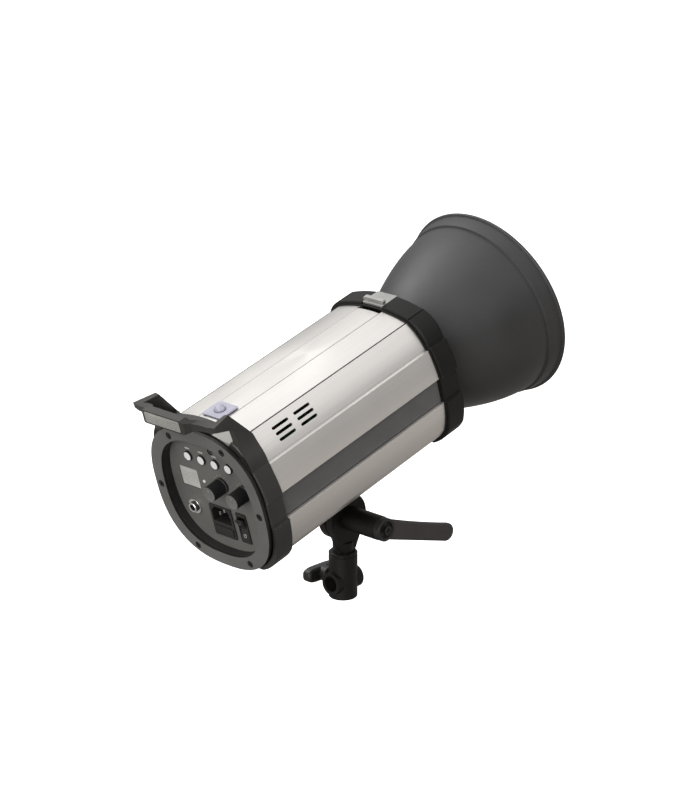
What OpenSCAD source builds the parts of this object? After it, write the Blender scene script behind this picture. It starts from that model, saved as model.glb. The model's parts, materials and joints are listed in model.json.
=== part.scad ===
// Monolight strobe: an aluminium head with a moulded carry handle, a bell reflector and a
// tilting stand bracket. Light leaves along -Y and +Z is up. The origin is the centre of
// the stand socket's mouth.

/* [Tilt] */
// Nose-up angle of the head at rest
tilt_rest = 16.3; // [0:0.1:30]
// Height of the tilt axis over the socket's mouth
pivot_z = 84; // [83:0.5:88]
// Distance of the tilt axis in front of the rear bezel's face
pivot_back = 150.6; // [140:0.1:160]
// Distance of the tilt axis under the head's centre line
pivot_drop = 107.9; // [106:0.1:110]

/* [Cover] */
// Half width of the aluminium cover at its side strips
side_x = 73.4; // [73:0.1:74]
// Height of the crowned top over the centre line
crown_z = 74.5; // [74:0.1:75]
// Distance of each top groove from the middle
groove_x = 43.2; // [42:0.1:44]
// Depth of the flat underside below the centre line
floor_z = 64.5; // [64:0.1:65]
// Height of the raised side strips over the inlays
strip_relief = 3.8; // [3.4:0.1:4]

/* [Vents] */
// Length of one vent slot
vent_len = 21.1; // [16:0.1:24]
// Width of one vent slot
vent_w = 3; // [2:0.1:4]
// Distance of the first vent column in front of the bezel's face
vent_start = 50.2; // [46:0.1:70]
// Spacing of the two vent columns
vent_pitch = 28.4; // [26:0.1:34]

/* [Collars] */
// Front edge of the rear collar
rear_collar_front = 26; // [24:0.5:26]
// Rear edge of the front collar
front_collar_rear = 244; // [242:0.5:245]
// Size of the collars' outline against the cover's
collar_scale = 1.05; // [1.045:0.005:1.06]

/* [Rear end] */
// Half width of the rear bezel
bezel_a = 73; // [72.5:0.1:74]
// Half width of the opening in the rear bezel
mouth_a = 59.8; // [59:0.1:60]
// Thickness of the rear bezel
bezel_t = 3.2; // [2.5:0.1:4]
// Bulge of the bezel's outline, from a circle (2) towards a square
bezel_power = 2.5; // [2.4:0.1:2.8]
// Travel of a push button
button_travel = 1; // [0.5:0.1:1]

/* [Handle] */
// Height of the handle's shoulders over the centre line
shoulder_z = 99.5; // [96:0.5:102]
// Half distance between the handle's shoulders
shoulder_x = 51; // [48:0.5:53]
// How far the grip bows out behind the bezel
grip_back = 28; // [25:0.5:30]
// Height of the grip
grip_h = 14; // [13:0.5:16]

/* [Reflector] */
// Radius of the reflector's rim
rim_r = 100; // [98:0.5:104]
// Distance of the rim in front of the bezel's face
rim_y = 400; // [396:1:410]
// Wall of the spun reflector
spun_wall = 1.4; // [1:0.1:1.6]
// Radius of the reflector's neck in the bayonet
neck_r = 49.5; // [49:0.1:49.8]

/* [Bracket] */
// Outer radius of the stand socket
socket_r = 14.25; // [13.5:0.05:15]
// Radius of both spigot bores
spigot_r = 8.05; // [8:0.01:8.2]
// Height of the cross bore and of the lock screw
cross_z = 17; // [16:0.5:20]
// Radius of the tilt joint's discs
disc_r = 24; // [22:0.5:24]
// Reach of the tilt lever from the tilt axis
lever_reach = 102; // [80:1:110]
// Droop of the tilt lever below the horizontal
lever_droop = 16.7; // [0:0.1:30]

/* [Hidden] */

$fn = 64;
blend_fn = 24;
gap = 0.1;
run_gap = 0.07;
cut = 1;

black = "#1b1b1c";
charcoal = "#2b2a2a";
satin = "#b9b3ab";
zinc = "#8d8f90";
mid_grey = "#6f7172";
board_green = "#2d5a3c";
glass = "#dfe6ea";

// ---------- placing ----------

// The head's own frame has its origin in the middle of the rear bezel's face
module head() {
    translate([0, 0, pivot_z])
        rotate([-tilt_rest, 0, 0])
            translate([0, pivot_back, pivot_drop]) children();
}

// A box from its [low, high] pairs; y is the distance in front of the origin
module block(x, y, z) {
    translate([x[0], -y[1], z[0]]) cube([x[1] - x[0], y[1] - y[0], z[1] - z[0]]);
}

// An outline in X and Z carried from y = -near to y = -far
module slab(near, far) {
    translate([0, -near, 0]) rotate([90, 0, 0]) linear_extrude(far - near) children();
}

// A cylinder about (x, z) from y = -near to y = -far
module rod(x, z, near, far, r) {
    translate([x, -near, z]) rotate([90, 0, 0]) cylinder(h = far - near, r = r);
}

// A cylinder about the X axis
module axle(x0, x1, r) {
    translate([x0, 0, 0]) rotate([0, 90, 0]) cylinder(h = x1 - x0, r = r);
}

// An outline in Y and Z carried from x0 to x1
module side_slab(x0, x1) {
    translate([x0, 0, 0]) rotate([90, 0, 90]) linear_extrude(x1 - x0) children();
}

// A profile of radius and distance spun about the head's centre line
module spun(angle = 360) {
    rotate([90, 0, 0]) rotate_extrude(angle = angle) children();
}

module both_sides() {
    children();
    mirror([1, 0, 0]) children();
}

// ---------- outlines ----------

function bend(a, b, c, t) = (1 - t) * (1 - t) * a + 2 * t * (1 - t) * b + t * t * c;
function curve(a, b, c, n) = [for (i = [0:n]) bend(a, b, c, i / n)];
function flip(half) = [for (i = [len(half) - 1:-1:0]) [-half[i][0], half[i][1]]];
function signed_pow(v, e) = sign(v) * pow(abs(v), e);
function squircle(a, n = 96) =
    [for (i = [0:n - 1])
        a * [signed_pow(cos(360 * i / n), 2 / bezel_power),
             signed_pow(sin(360 * i / n), 2 / bezel_power)]];

crown_sag = 6.8;
groove_z = crown_z - crown_sag;
groove_d = 1.7;
channel_x = 14;
channel_d = 0.6;
corner_a = [groove_x + 1.6, groove_z - 0.4];
corner_b = [57.5, 57.3];
corner_c = [62.8, 42.3];
inlay_top = 13;
inlay_foot = -13.5;
strip_foot = [67, -44];
foot_x = 43;

// Height of the crown over the centre line, at a distance from the middle
function crown_at(x) = crown_z - crown_sag * pow(x / groove_x, 2);

// Right half of the cover's section, from the top middle round to the bottom middle.
// A relief of 1 has the full grooves and strips and 0 is smooth; bulge fills out the corner,
// and grooved = false leaves out the grooves and channels of the top.
function half_section(relief, bulge, grooved) =
    let (groove = grooved ? relief : 0,
         step = strip_relief * relief,
         outer = side_x - strip_relief * (1 - relief) / 2,
         inner = outer - step + 0.2,
         channel_z = crown_at(channel_x) - channel_d * groove)
    concat(
        [for (i = [0:3]) [channel_x * i / 3 - 0.1 * i, crown_at(channel_x * i / 3)]],
        [[channel_x, channel_z], [channel_x + 0.3, channel_z]],
        [for (i = [2:6]) [groove_x * i / 6 + (i == 2 ? 0.4 : 0), crown_at(groove_x * i / 6)]],
        [[groove_x + 0.3, groove_z - groove_d * groove],
         [groove_x + 1.3, groove_z - groove_d * groove]],
        curve(corner_a, corner_b + [bulge, bulge], corner_c, 8),
        curve([corner_c[0] + step + 0.1, corner_c[1]], [outer - 1.4, 26], [outer, inlay_top], 5),
        [[inner, inlay_top - 0.8], [inner, inlay_foot + 0.8]],
        curve([outer + 0.1, inlay_foot], [outer - 0.9, -31], strip_foot, 5),
        curve(strip_foot - [0.6, 1.5], [58.5, -57.5], [foot_x, -floor_z], 5));

function section(k, relief, bulge, grooved) =
    let (half = k * half_section(relief, bulge, grooved)) concat(half, flip(half));

collar_relief = 0.4;
collar_bulge = 2.5;
wall = 2;
function half_hollow() = concat(
    [for (i = [0:6]) [(groove_x - 2) * i / 6, crown_at(groove_x * i / 6) - wall - 0.4]],
    curve(corner_a - [2.6, 3], corner_b - [1.5, 1.5], corner_c - [wall, 0], 6),
    [[side_x - strip_relief - wall, inlay_top - 1],
     [side_x - strip_relief - wall, inlay_foot],
     strip_foot - [wall + 0.8, -1],
     [foot_x - 1, wall - floor_z]]);

module outline(k, relief, bulge = 0, grooved = true) {
    polygon(section(k, relief, bulge, grooved));
}

// Opening of a collar, clear of the cover all round
module collar_bore_outline() {
    outline(1.004, 1, grooved = false);
}

module collar_outline() {
    outline(collar_scale, collar_relief, collar_bulge);
}

module hollow() {
    polygon(concat(half_hollow(), flip(half_hollow())));
}

module rounded(size, r) {
    for (x = [-1, 1], y = [-1, 1])
        translate([x * (size[0] / 2 - r), y * (size[1] / 2 - r)]) circle(r);
    square([size[0] - 2 * r, size[1]], center = true);
    square([size[0], size[1] - 2 * r], center = true);
}

// ---------- cover and its fittings ----------

cover_rear = 17;
cover_front = front_collar_rear + 3;
latch_x = 0;
latch_w = 26;
notch_half = 14.8;
notch_y = [cover_front - 7, cover_front + cut];
notch_z = [50, 80];
slave_x = 0;
slave_y = 37.9;
slave_size = [25, 23.4];
slave_hole_r = 6;
slave_hole_h = 40;
plate_hole = [17, 30];
screw_r = 2;

module plate_holes(low, high, r) {
    for (x = [-1, 1], y = [-1, 1])
        translate([x * plate_hole[0], -pivot_back + y * plate_hole[1], low])
            cylinder(h = high - low, r = r);
}

module vent_slots() {
    depth = 12;
    for (column = [0, 1], t = [0.28, 0.48, 0.68]) {
        p = bend(corner_a, corner_b, corner_c, t);
        middle = vent_start + column * vent_pitch + vent_len / 2;
        translate([p[0], -middle, p[1]])
            rotate([0, 54 + 33 * (t - 0.5), 0])
                translate([0, 0, -depth / 2])
                    linear_extrude(depth) rounded([vent_w, vent_len], vent_w / 2 - 0.01);
    }
}

module cover() {
    color(satin) head() difference() {
        slab(cover_rear, cover_front) difference() {
            outline(1, 1);
            hollow();
        }
        both_sides() vent_slots();
        block([latch_x - notch_half, latch_x + notch_half], notch_y, notch_z);
        translate([slave_x, -slave_y, crown_z - slave_hole_h / 2])
            cylinder(h = slave_hole_h, r = slave_hole_r);
        plate_holes(-floor_z - cut, -floor_z + 10, screw_r + gap);
    }
}

// Darker strips glued into the recesses along both flanks
module side_inlays() {
    color(mid_grey) head() both_sides()
        block([side_x - strip_relief + 0.2 + gap, side_x - strip_relief + 1],
              [rear_collar_front + 1, front_collar_rear - 1],
              [inlay_foot + 1.2, inlay_top - 1.2]);
}

// Clear window of the slave cell, with a dome that gathers light
module slave_window() {
    lift = crown_z + 0.1;
    dome_r = 5.6;
    color(glass) head() translate([slave_x, -slave_y, lift]) {
        difference() {
            union() {
                linear_extrude(1.6) rounded(slave_size, 2);
                rotate_extrude() intersection() {
                    translate([0, 1]) circle(dome_r);
                    square([dome_r, 10]);
                }
            }
            translate([0, 0, -cut]) cylinder(h = 2.2, r = 3);
        }
    }
}

module slave_cell() {
    color("#3a2024") head() translate([slave_x, -slave_y, crown_z - 6]) {
        cylinder(h = 4.4, r = 3.4);
        cylinder(h = 6.8, r = 2.4);
    }
}

// ---------- rear collar, handle and bezel ----------

collar_rear = 5;
split_z = 12.5;
shoulder_y = [-14, 8];
horn_r = 4;
horn_foot = [[47, 66], [54.5, 60]];
grip_half = 30;
grip_y = [-grip_back, -grip_back + 9];
grip_foot = shoulder_z + 7.5 - grip_h;
grip_edge = 3;
insert_half = 23;
insert_d = 1.2;

module collar_ring() {
    difference() {
        slab(collar_rear, rear_collar_front) difference() {
            collar_outline();
            collar_bore_outline();
        }
        slab(0, frame_front + gap) lifted() polygon(squircle(bezel_a + 0.8));
    }
}

module rear_collar() {
    color(black) head() intersection() {
        collar_ring();
        block([-90, 90], [0, 60], [-90, split_z - gap]);
    }
}

// One horn of the handle, leaning back from the collar's corner to its shoulder
module horn() {
    hull() {
        for (foot = horn_foot)
            rod(foot[0], foot[1], collar_rear, rear_collar_front, horn_r - 1, $fn = blend_fn);
        rod(shoulder_x - horn_r, shoulder_z - horn_r, shoulder_y[0], shoulder_y[1], horn_r,
            $fn = blend_fn);
    }
}

// The arm between a shoulder and the middle of the grip
module grip_arm() {
    hull() {
        rod(shoulder_x - horn_r, shoulder_z - horn_r, shoulder_y[0], shoulder_y[1] - 12, horn_r,
            $fn = blend_fn);
        for (y = grip_y, z = [grip_foot, grip_foot + grip_h])
            translate([grip_half - 4, -(y + sign(grip_y[1] + grip_y[0] - 2 * y) * grip_edge),
                       z + sign(2 * grip_foot + grip_h - 2 * z) * grip_edge])
                axle(0, 4, grip_edge, $fn = blend_fn);
    }
}

module grip() {
    hull()
        for (y = [grip_y[0] + grip_edge, grip_y[1] - grip_edge],
             z = [grip_foot + grip_edge, grip_foot + grip_h - grip_edge])
            translate([0, -y, z]) axle(-grip_half, grip_half, grip_edge, $fn = blend_fn);
}

module carry_handle() {
    color(charcoal) head() difference() {
        union() {
            intersection() {
                collar_ring();
                block([-90, 90], [0, 60], [split_z, 90]);
            }
            difference() {
                both_sides() horn();
                slab(collar_rear - cut, rear_collar_front + cut) collar_bore_outline();
            }
            both_sides() grip_arm();
            grip();
        }
        block([-insert_half - gap, insert_half + gap], [-grip_back - cut, insert_d - grip_back],
              [grip_foot + 1.4, grip_foot + grip_h - 1.4]);
    }
}

module handle_insert() {
    color(mid_grey) head()
        slab(-grip_back - 0.4, insert_d - grip_back - 0.05)
            translate([0, grip_foot + grip_h / 2]) rounded([2 * insert_half, grip_h - 3], 1.5);
}

bezel_lift = 0.8;
bezel_holes = [[65.8, 0], [35.3, 60.4], [35.3, -60.4]];
frame_front = 14.9;
panel_face = 11;
panel_t = 2;
panel_a = 62;

module bezel_holes(near, far, r) {
    both_sides() for (p = bezel_holes) rod(p[0], p[1], near, far, r);
}

module lifted() {
    translate([0, bezel_lift]) children();
}

module rear_bezel() {
    head_r = 3.5;
    color(charcoal) head() difference() {
        slab(0, bezel_t) lifted() difference() {
            polygon(squircle(bezel_a));
            polygon(squircle(mouth_a));
        }
        bezel_holes(-cut, bezel_t + cut, screw_r + gap);
        bezel_holes(-cut, 2, head_r);
    }
}

module bezel_screws() {
    color(black) head() difference() {
        union() {
            bezel_holes(0.3, 1.9, 3.2);
            bezel_holes(1.8, 6.4, screw_r);
        }
        both_sides() for (p = bezel_holes)
            translate([p[0], 0, p[1]]) rotate([90, 0, 0]) cylinder(h = 1.4, r = 1.8, $fn = 6);
    }
}

// Frame behind the bezel; it carries the control panel
module rear_frame() {
    root = bezel_t + gap;
    color(black) head() difference() {
        slab(root, frame_front) lifted() polygon(squircle(bezel_a - 1));
        slab(root - cut, panel_face + 0.01) lifted() polygon(squircle(mouth_a));
        slab(panel_face - 0.01, frame_front + cut) lifted() polygon(squircle(panel_a + gap));
        bezel_holes(root - cut, 6.6, screw_r + gap);
    }
}

// ---------- control panel ----------

button_x = [-26, -8, 10, 28];
button_z = 34.9;
button_rise = 2.2;
button_r = 4.4;
display_at = [34.8, 9.4];
display_size = [24, 20.5];
led_at = [15.1, 9.9];
led_r = 1.5;
sensor_at = [-4.4, 47.1];
sensor_r = 3.2;
knob_x = [-40.7, -10.5];
knob_z = 13;
knob_r = 8.2;
spindle_r = 3;
jack_at = [36.6, -22.4];
jack_r = 5;
jack_near = panel_face - 5;
nut_r = 7.8;
nut_t = 2.4;
plug_r = 3.2;
flange_near = panel_face - 1.4;
inlet_at = [1.6, -30.2];
inlet_size = [29.4, 33.6];
plug_z = 6.8;
plug_size = [24.4, 16.4];
drawer_z = -9.8;
plug_end = 25;
drawer_size = [23.6, 8];
drawer_y = [flange_near - 0.7, 23.8];
fuse_r = 2.6;
switch_at = [-26, -29.9];
switch_size = [13, 32];
rocker_size = [9.6, 24];
board_near = 21.4;

module at(p) {
    translate([p[0], p[1]]) children();
}

module panel_hole(p, r) {
    rod(p[0], p[1], panel_face - cut, panel_face + panel_t + cut, r);
}

module control_panel() {
    color(charcoal) head() difference() {
        slab(panel_face + 0.05, panel_face + panel_t) difference() {
            lifted() polygon(squircle(panel_a));
            at(display_at) rounded(display_size, 1);
            at(inlet_at) square(inlet_size - [1.6, 1.6], center = true);
            at(switch_at) square(switch_size - [1.6, 1.6], center = true);
        }
        for (x = button_x) panel_hole([x, button_z], button_r + 0.6);
        for (x = knob_x) panel_hole([x, knob_z], spindle_r + 0.4);
        panel_hole(led_at, led_r + 0.2);
        panel_hole(sensor_at, sensor_r + 0.2);
        panel_hole(jack_at, jack_r + gap);
    }
}

module display_window() {
    color("#a6a8a6") head() slab(panel_face + 0.4, panel_face + 1.8)
        at(display_at) rounded(display_size - [0.3, 0.3], 0.9);
}

module display_module() {
    color(black) head() slab(panel_face + 2.2, board_near - gap)
        at(display_at) square(display_size + [2, 2], center = true);
}

module button(x) {
    color("#e9e9e6") head() {
        rod(x, button_z, panel_face - button_rise, panel_face + 5, button_r);
        rod(x, button_z, panel_face + 4.9, board_near - 0.2 - button_travel, 2);
    }
}

module button_1() { button(button_x[3]); }
module button_2() { button(button_x[2]); }
module button_3() { button(button_x[1]); }
module button_4() { button(button_x[0]); }

module control_board() {
    color(board_green) head()
        block([-42, 42], [board_near, board_near + board_t], [-5, 39]);
}

// A control knob with its spindle
module knob(x) {
    rise = 7;
    color(black) head() difference() {
        union() {
            rod(x, knob_z, -rise, panel_face - 0.8, knob_r);
            rod(x, knob_z, panel_face - 0.9, panel_face + 4, spindle_r);
        }
        block([x - 0.6, x + 0.6], [-rise - cut, 0.8 - rise], [knob_z + 2, knob_z + 7.6]);
    }
}

module power_knob() { knob(knob_x[1]); }
module lamp_knob() { knob(knob_x[0]); }

module potentiometers() {
    color(zinc) head() for (x = knob_x) difference() {
        block([x - 8, x + 8], [panel_face + panel_t + gap, board_near - gap],
              [knob_z - 8, knob_z + 8]);
        rod(x, knob_z, 0, panel_face + 5, spindle_r + run_gap);
    }
}

module ready_led() {
    color("#e8f0e4") head() {
        rod(led_at[0], led_at[1], panel_face - 0.5, panel_face + 3, led_r);
        rod(led_at[0], led_at[1], panel_face + 2.2, panel_face + 6, led_r + 0.9);
    }
}

module panel_sensor() {
    color("#141416") head() {
        rod(sensor_at[0], sensor_at[1], panel_face + 0.6, panel_face + 3, sensor_r);
        rod(sensor_at[0], sensor_at[1], panel_face + 2.2, panel_face + 5, sensor_r + 1);
    }
}

module sync_jack() {
    color(zinc) head() difference() {
        union() {
            rod(jack_at[0], jack_at[1], jack_near, panel_face + panel_t + cut, jack_r);
            block([jack_at[0] - 7.5, jack_at[0] + 7.5], [panel_face + panel_t + gap, 29],
                  [jack_at[1] - 7.5, jack_at[1] + 7.5]);
        }
        rod(jack_at[0], jack_at[1], jack_near - cut, 28, plug_r);
    }
}

module jack_nut() {
    color("#c9cbcc") head() difference() {
        rod(jack_at[0], jack_at[1], panel_face - nut_t, panel_face, nut_r);
        rod(jack_at[0], jack_at[1], 0, 20, jack_r + 0.05);
    }
}

// Outline of the mains plug's hole, with its two cut corners
module plug_outline() {
    x = plug_size[0] / 2;
    z = plug_size[1] / 2;
    cut_corner = 5;
    polygon([[-x, -z], [x, -z], [x, z - cut_corner], [x - cut_corner, z],
             [cut_corner - x, z], [-x, z - cut_corner]]);
}

module mains_inlet() {
    color(black) head() difference() {
        union() {
            slab(flange_near, panel_face) at(inlet_at) rounded(inlet_size, 1.5);
            slab(panel_face - 0.1, 28.6) at(inlet_at)
                square(inlet_size - [2, 2], center = true);
        }
        slab(flange_near - cut, plug_end) at(inlet_at + [0, plug_z]) plug_outline();
        slab(flange_near - cut, drawer_y[1] + 0.2) at(inlet_at + [0, drawer_z])
            square(drawer_size + [0.3, 0.3], center = true);
    }
}

module inlet_pins() {
    color("#b8a46a") head() for (p = [[0, 2.4], [-7, -2], [7, -2]])
        slab(flange_near + 4.4, plug_end) at(inlet_at + [0, plug_z] + p)
            square([2, 4], center = true);
}

module fuse_drawer() {
    color(charcoal) head() difference() {
        slab(drawer_y[0], drawer_y[1]) at(inlet_at + [0, drawer_z])
            square(drawer_size, center = true);
        rod(inlet_at[0], inlet_at[1] + drawer_z, drawer_y[0] + 4, drawer_y[1] - 2, fuse_r);
        slab(drawer_y[0] - cut, drawer_y[0] + 0.6) at(inlet_at + [0, drawer_z + 2])
            square([8, 1.4], center = true);
    }
}

module switch_frame() {
    color(black) head() difference() {
        union() {
            slab(flange_near, panel_face) at(switch_at) rounded(switch_size, 1);
            slab(panel_face - 0.1, rocker_y + 14) at(switch_at) square(switch_size - [2, 2], center = true);
        }
        slab(flange_near - cut, rocker_y + 9) at(switch_at) square(rocker_size + [0.6, 0.8], center = true);
        translate([0, -rocker_y, switch_at[1]])
            axle(switch_at[0] - 6, switch_at[0] + 6, rocker_pin_r + run_gap);
    }
}

rocker_y = panel_face + 3;
rocker_pin_r = 1.2;
rocker_tip = 10;

// Rocker whose two faces slope away from a middle ridge, pressed at its lower end
module switch_rocker() {
    half = rocker_size[1] / 2;
    rise = half * tan(rocker_tip);
    color(black) head() translate([0, -rocker_y, switch_at[1]]) {
        rotate([-rocker_tip, 0, 0]) side_slab(switch_at[0] - rocker_size[0] / 2,
                                             switch_at[0] + rocker_size[0] / 2)
            polygon([[-4, -5], [-4, 5], [3.4 + rise - 1, half - 0.4], [4.6 + rise, half - 0.8],
                     [3.4, 0], [4.6 + rise, 0.8 - half], [3.4 + rise - 1, 0.4 - half]]);
        axle(switch_at[0] - 5.4, switch_at[0] + 5.4, rocker_pin_r);
    }
}

// ---------- inside the head ----------

fan_y = [30, 45];
fan_half = 30;
fan_r = 28.4;
fan_hub_r = 12;
tray_z = -58;
tray_t = 1.6;
tray_x = 44;
wall_top = 38;
bulkhead_y = 46;
front_wall_y = 220;
cable_hole_r = 16;
capacitor_r = 17.5;
capacitor_x = 18.5;
capacitor_z = [-38, -1];
capacitor_y = [102, 198];
clamp_y = [140, 152];
board_z = 24;
board_t = 1.6;
sink_y = [120, 180];
post_x = 41;
post_y = [62, 205];

module fan_frame() {
    color(black) head() difference() {
        slab(fan_y[0], fan_y[1]) difference() {
            rounded([2 * fan_half, 2 * fan_half], 4);
            circle(fan_r);
            for (x = [-25, 25], z = [-25, 25]) at([x, z]) circle(1.8);
        }
    }
    color(black) head() difference() {
        slab(fan_y[1] - 2, fan_y[1]) {
            circle(fan_hub_r);
            for (a = [45, 135]) rotate(a) square([2 * fan_r + 2, 3], center = true);
        }
        rod(0, 0, fan_y[0], fan_y[1] - 0.9, 2 + run_gap);
    }
}

module fan_rotor() {
    blades = 7;
    blade = [15.5, 1.2, 10];
    color(charcoal) head() translate([0, -fan_y[0], 0]) rotate([90, 0, 0]) {
        translate([0, 0, 1]) cylinder(h = 11, r = fan_hub_r);
        cylinder(h = 14, r = 2);
        for (i = [0:blades - 1]) rotate(360 * i / blades)
            translate([11, 0, 6.5]) rotate([35, 0, 0])
                translate([0, -blade[1] / 2, -blade[2] / 2]) cube(blade);
    }
}

// Folded tray that carries the electronics between its two end walls
module chassis() {
    color(zinc) head() difference() {
        union() {
            block([-tray_x, tray_x], [26, front_wall_y + tray_t], [tray_z, tray_z + tray_t]);
            for (y = [bulkhead_y, front_wall_y])
                block([-tray_x, tray_x], [y, y + tray_t], [tray_z, wall_top]);
        }
        rod(0, 0, bulkhead_y - cut, bulkhead_y + 3, fan_r);
        rod(0, 0, front_wall_y - cut, front_wall_y + 3, cable_hole_r);
    }
}

module capacitor_places() {
    for (x = [-1, 1], z = capacitor_z) translate([x * capacitor_x, 0, z]) children();
}

module capacitors() {
    color("#23282e") head() capacitor_places() {
        rod(0, 0, capacitor_y[0], capacitor_y[1], capacitor_r);
        for (x = [-6, 6]) rod(x, 0, capacitor_y[0] - 5, capacitor_y[0] + 1, 2.5);
    }
}

module capacitor_clamp() {
    color(zinc) head() difference() {
        block([-38, 38], clamp_y, [tray_z + tray_t + gap, 19]);
        capacitor_places() rod(0, 0, clamp_y[0] - cut, clamp_y[1] + cut, capacitor_r + gap);
    }
}

module board_posts() {
    color("#b8a46a") head() for (x = [-post_x, post_x], y = post_y)
        translate([x, -y, tray_z + tray_t + gap])
            cylinder(h = board_z - tray_z - tray_t - 2 * gap, r = 2.4);
}

module power_board() {
    color(board_green) head() block([-tray_x, tray_x], [56, 212], [board_z, board_z + board_t]);
}

module transformer() {
    base = board_z + board_t + gap;
    color("#3c3f45") head() {
        block([-17, 17], [72, 84], [base, base + 28]);
        block([-12, 12], [66, 90], [base + 5, base + 23]);
    }
}

module heat_sink() {
    base = board_z + board_t + gap;
    color(zinc) head() {
        block([-26, 26], sink_y, [base, base + 4]);
        for (i = [0:6]) block([8 * i - 25, 8 * i - 23], sink_y, [base + 3.9, base + 24]);
    }
}

// ---------- front collar, latch and bayonet ----------

collar_bore = 60.4;
collar_end = 269;
plate_y = [cover_front + 3.1, cover_front + 6];
ring_r = 60.2;
cavity_y = [cover_front + 9, cover_front + 13.6];
ring_end = cover_front + 17;
lug_r = 54;
lug_angle = 30;
twist = 40;
socket_hole_r = 21;
latch_top = 75.6;
latch_plate_t = 2.2;
stem_x = [latch_x - 4.6, latch_x + 4.6];
stem_y = [cover_front + 3.5, cover_front + 8.5];
stem_z = 50;
lip_t = 1.6;

module front_collar() {
    pocket = [latch_x - latch_w / 2 - 0.3, latch_x + latch_w / 2 + 0.3];
    slot = [stem_x[0] - 0.3, stem_x[1] + 0.3];
    color(black) head() difference() {
        union() {
            slab(front_collar_rear, front_collar_rear + lip_t + gap)
                outline(1.016, 0.9, grooved = false);
            slab(front_collar_rear + lip_t, collar_end) collar_outline();
        }
        slab(front_collar_rear - cut, plate_y[0] - 0.1) collar_bore_outline();
        rod(0, 0, plate_y[0] - 0.2, collar_end + cut, collar_bore);
        block(pocket, [front_collar_rear - cut, collar_end + cut], [latch_top, 90]);
        block(slot, [front_collar_rear - cut, stem_y[1] + 0.4], [40, 90]);
    }
}

module latch_slot(near, far) {
    block([stem_x[0] - 0.3, stem_x[1] + 0.3], [near, far], [stem_z - 3, 90]);
}

module mount_plate() {
    color(zinc) head() difference() {
        union() {
            rod(0, 0, plate_y[0], plate_y[1], ring_r);
            block(stem_x, [plate_y[0] - 12, plate_y[0] + 0.1], [44, 46]);
            block(stem_x, [plate_y[0] - 12, plate_y[0] - 10.6], [44, 59]);
        }
        rod(0, 0, plate_y[0] - cut, plate_y[1] + cut, socket_hole_r);
        latch_slot(plate_y[0] - 0.2, plate_y[1] + cut);
    }
}

// Ring with a cavity for the reflector's lugs and three notches that let them in
module bayonet_ring() {
    color(zinc) head() difference() {
        rod(0, 0, plate_y[1] + gap, ring_end, ring_r);
        rod(0, 0, plate_y[1], ring_end + cut, neck_r + 0.5);
        rod(0, 0, cavity_y[0], cavity_y[1], lug_r + 0.9);
        for (i = [0:2]) rotate([0, 120 * i + twist, 0]) intersection() {
            rod(0, 0, cavity_y[1] - cut, ring_end + cut, lug_r + 0.6);
            wedge(lug_angle + 4, cavity_y[1] - cut, ring_end + cut);
        }
        latch_slot(plate_y[1], cavity_y[0] + 1);
    }
}

// A sector about the head's centre line, centred on +Z
module wedge(angle, near, far) {
    reach = 80;
    slab(near, far) polygon([[0, 0], [-reach * tan(angle / 2), reach],
                             [reach * tan(angle / 2), reach]]);
}

module latch_slider() {
    bar_y = [front_collar_rear + 4.4, front_collar_rear + 9];
    x = [latch_x - latch_w / 2, latch_x + latch_w / 2];
    color(zinc) head() {
        block(x, [front_collar_rear + 3, collar_end], [latch_top + gap, latch_top + latch_plate_t]);
        hull() for (end = [x[0] + 2, x[1] - 2])
            translate([end, 0, latch_top + 5]) rod(0, 0, bar_y[0], bar_y[1], 2, $fn = blend_fn);
        block([x[0] + 0.5, x[1] - 0.5], bar_y, [latch_top + 1, latch_top + 5]);
        block(stem_x, stem_y, [stem_z, latch_top + 1]);
    }
}

// Coil that pushes the latch forward, drawn as close rings on a thin sleeve
module latch_spring() {
    rings = 7;
    r = 2.4;
    wire_r = 0.45;
    near = plate_y[0] - 10.6 + gap;
    length = stem_y[0] - gap - near;
    color(zinc) head() translate([latch_x, -near, 55]) rotate([90, 0, 0]) rotate_extrude() {
        for (i = [0:rings - 1])
            translate([r, wire_r + (length - 2 * wire_r) * i / (rings - 1)]) circle(wire_r);
        translate([r - 0.15, wire_r]) square([0.3, length - 2 * wire_r]);
    }
}

// ---------- lamp, tube and reflector ----------

lamp_r = 16;
lamp_neck_r = 13.2;
lamp_end = 318;
tube_ring_r = 30;
tube_r = 4.2;
tube_y = 290;
tube_gap_angle = 40;
tube_base_y = [plate_y[1] + 0.2, plate_y[1] + 5];

module lamp_socket() {
    color("#e6e2d8") head() difference() {
        rod(0, 0, front_wall_y + tray_t + gap, plate_y[1] + 4, socket_hole_r - 1);
        rod(0, 0, front_wall_y + 16, plate_y[1] + 5, 13.6);
    }
}

module modelling_lamp() {
    foot = front_wall_y + 17;
    flare = foot + 24;
    bulb = flare + 8;
    color(glass) head() rotate([90, 0, 0]) {
        translate([0, 0, foot]) cylinder(h = flare - foot, r = lamp_neck_r);
        translate([0, 0, flare - gap])
            cylinder(h = bulb - flare + gap, r1 = lamp_neck_r, r2 = lamp_r);
        translate([0, 0, bulb - gap]) cylinder(h = lamp_end - bulb - lamp_r + gap, r = lamp_r);
        translate([0, 0, lamp_end - lamp_r]) sphere(r = lamp_r);
    }
}

module leg_places() {
    for (side = [-1, 1]) {
        a = side * tube_gap_angle / 2;
        translate([tube_ring_r * sin(a), 0, -tube_ring_r * cos(a)]) children();
    }
}

module tube_base() {
    color("#e6e2d8") head() difference() {
        rod(0, 0, tube_base_y[0], tube_base_y[1], 44);
        rod(0, 0, tube_base_y[0] - cut, tube_base_y[1] + cut, socket_hole_r);
        leg_places() rod(0, 0, tube_base_y[0] - cut, tube_base_y[1] + cut, tube_r + gap);
    }
}

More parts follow.
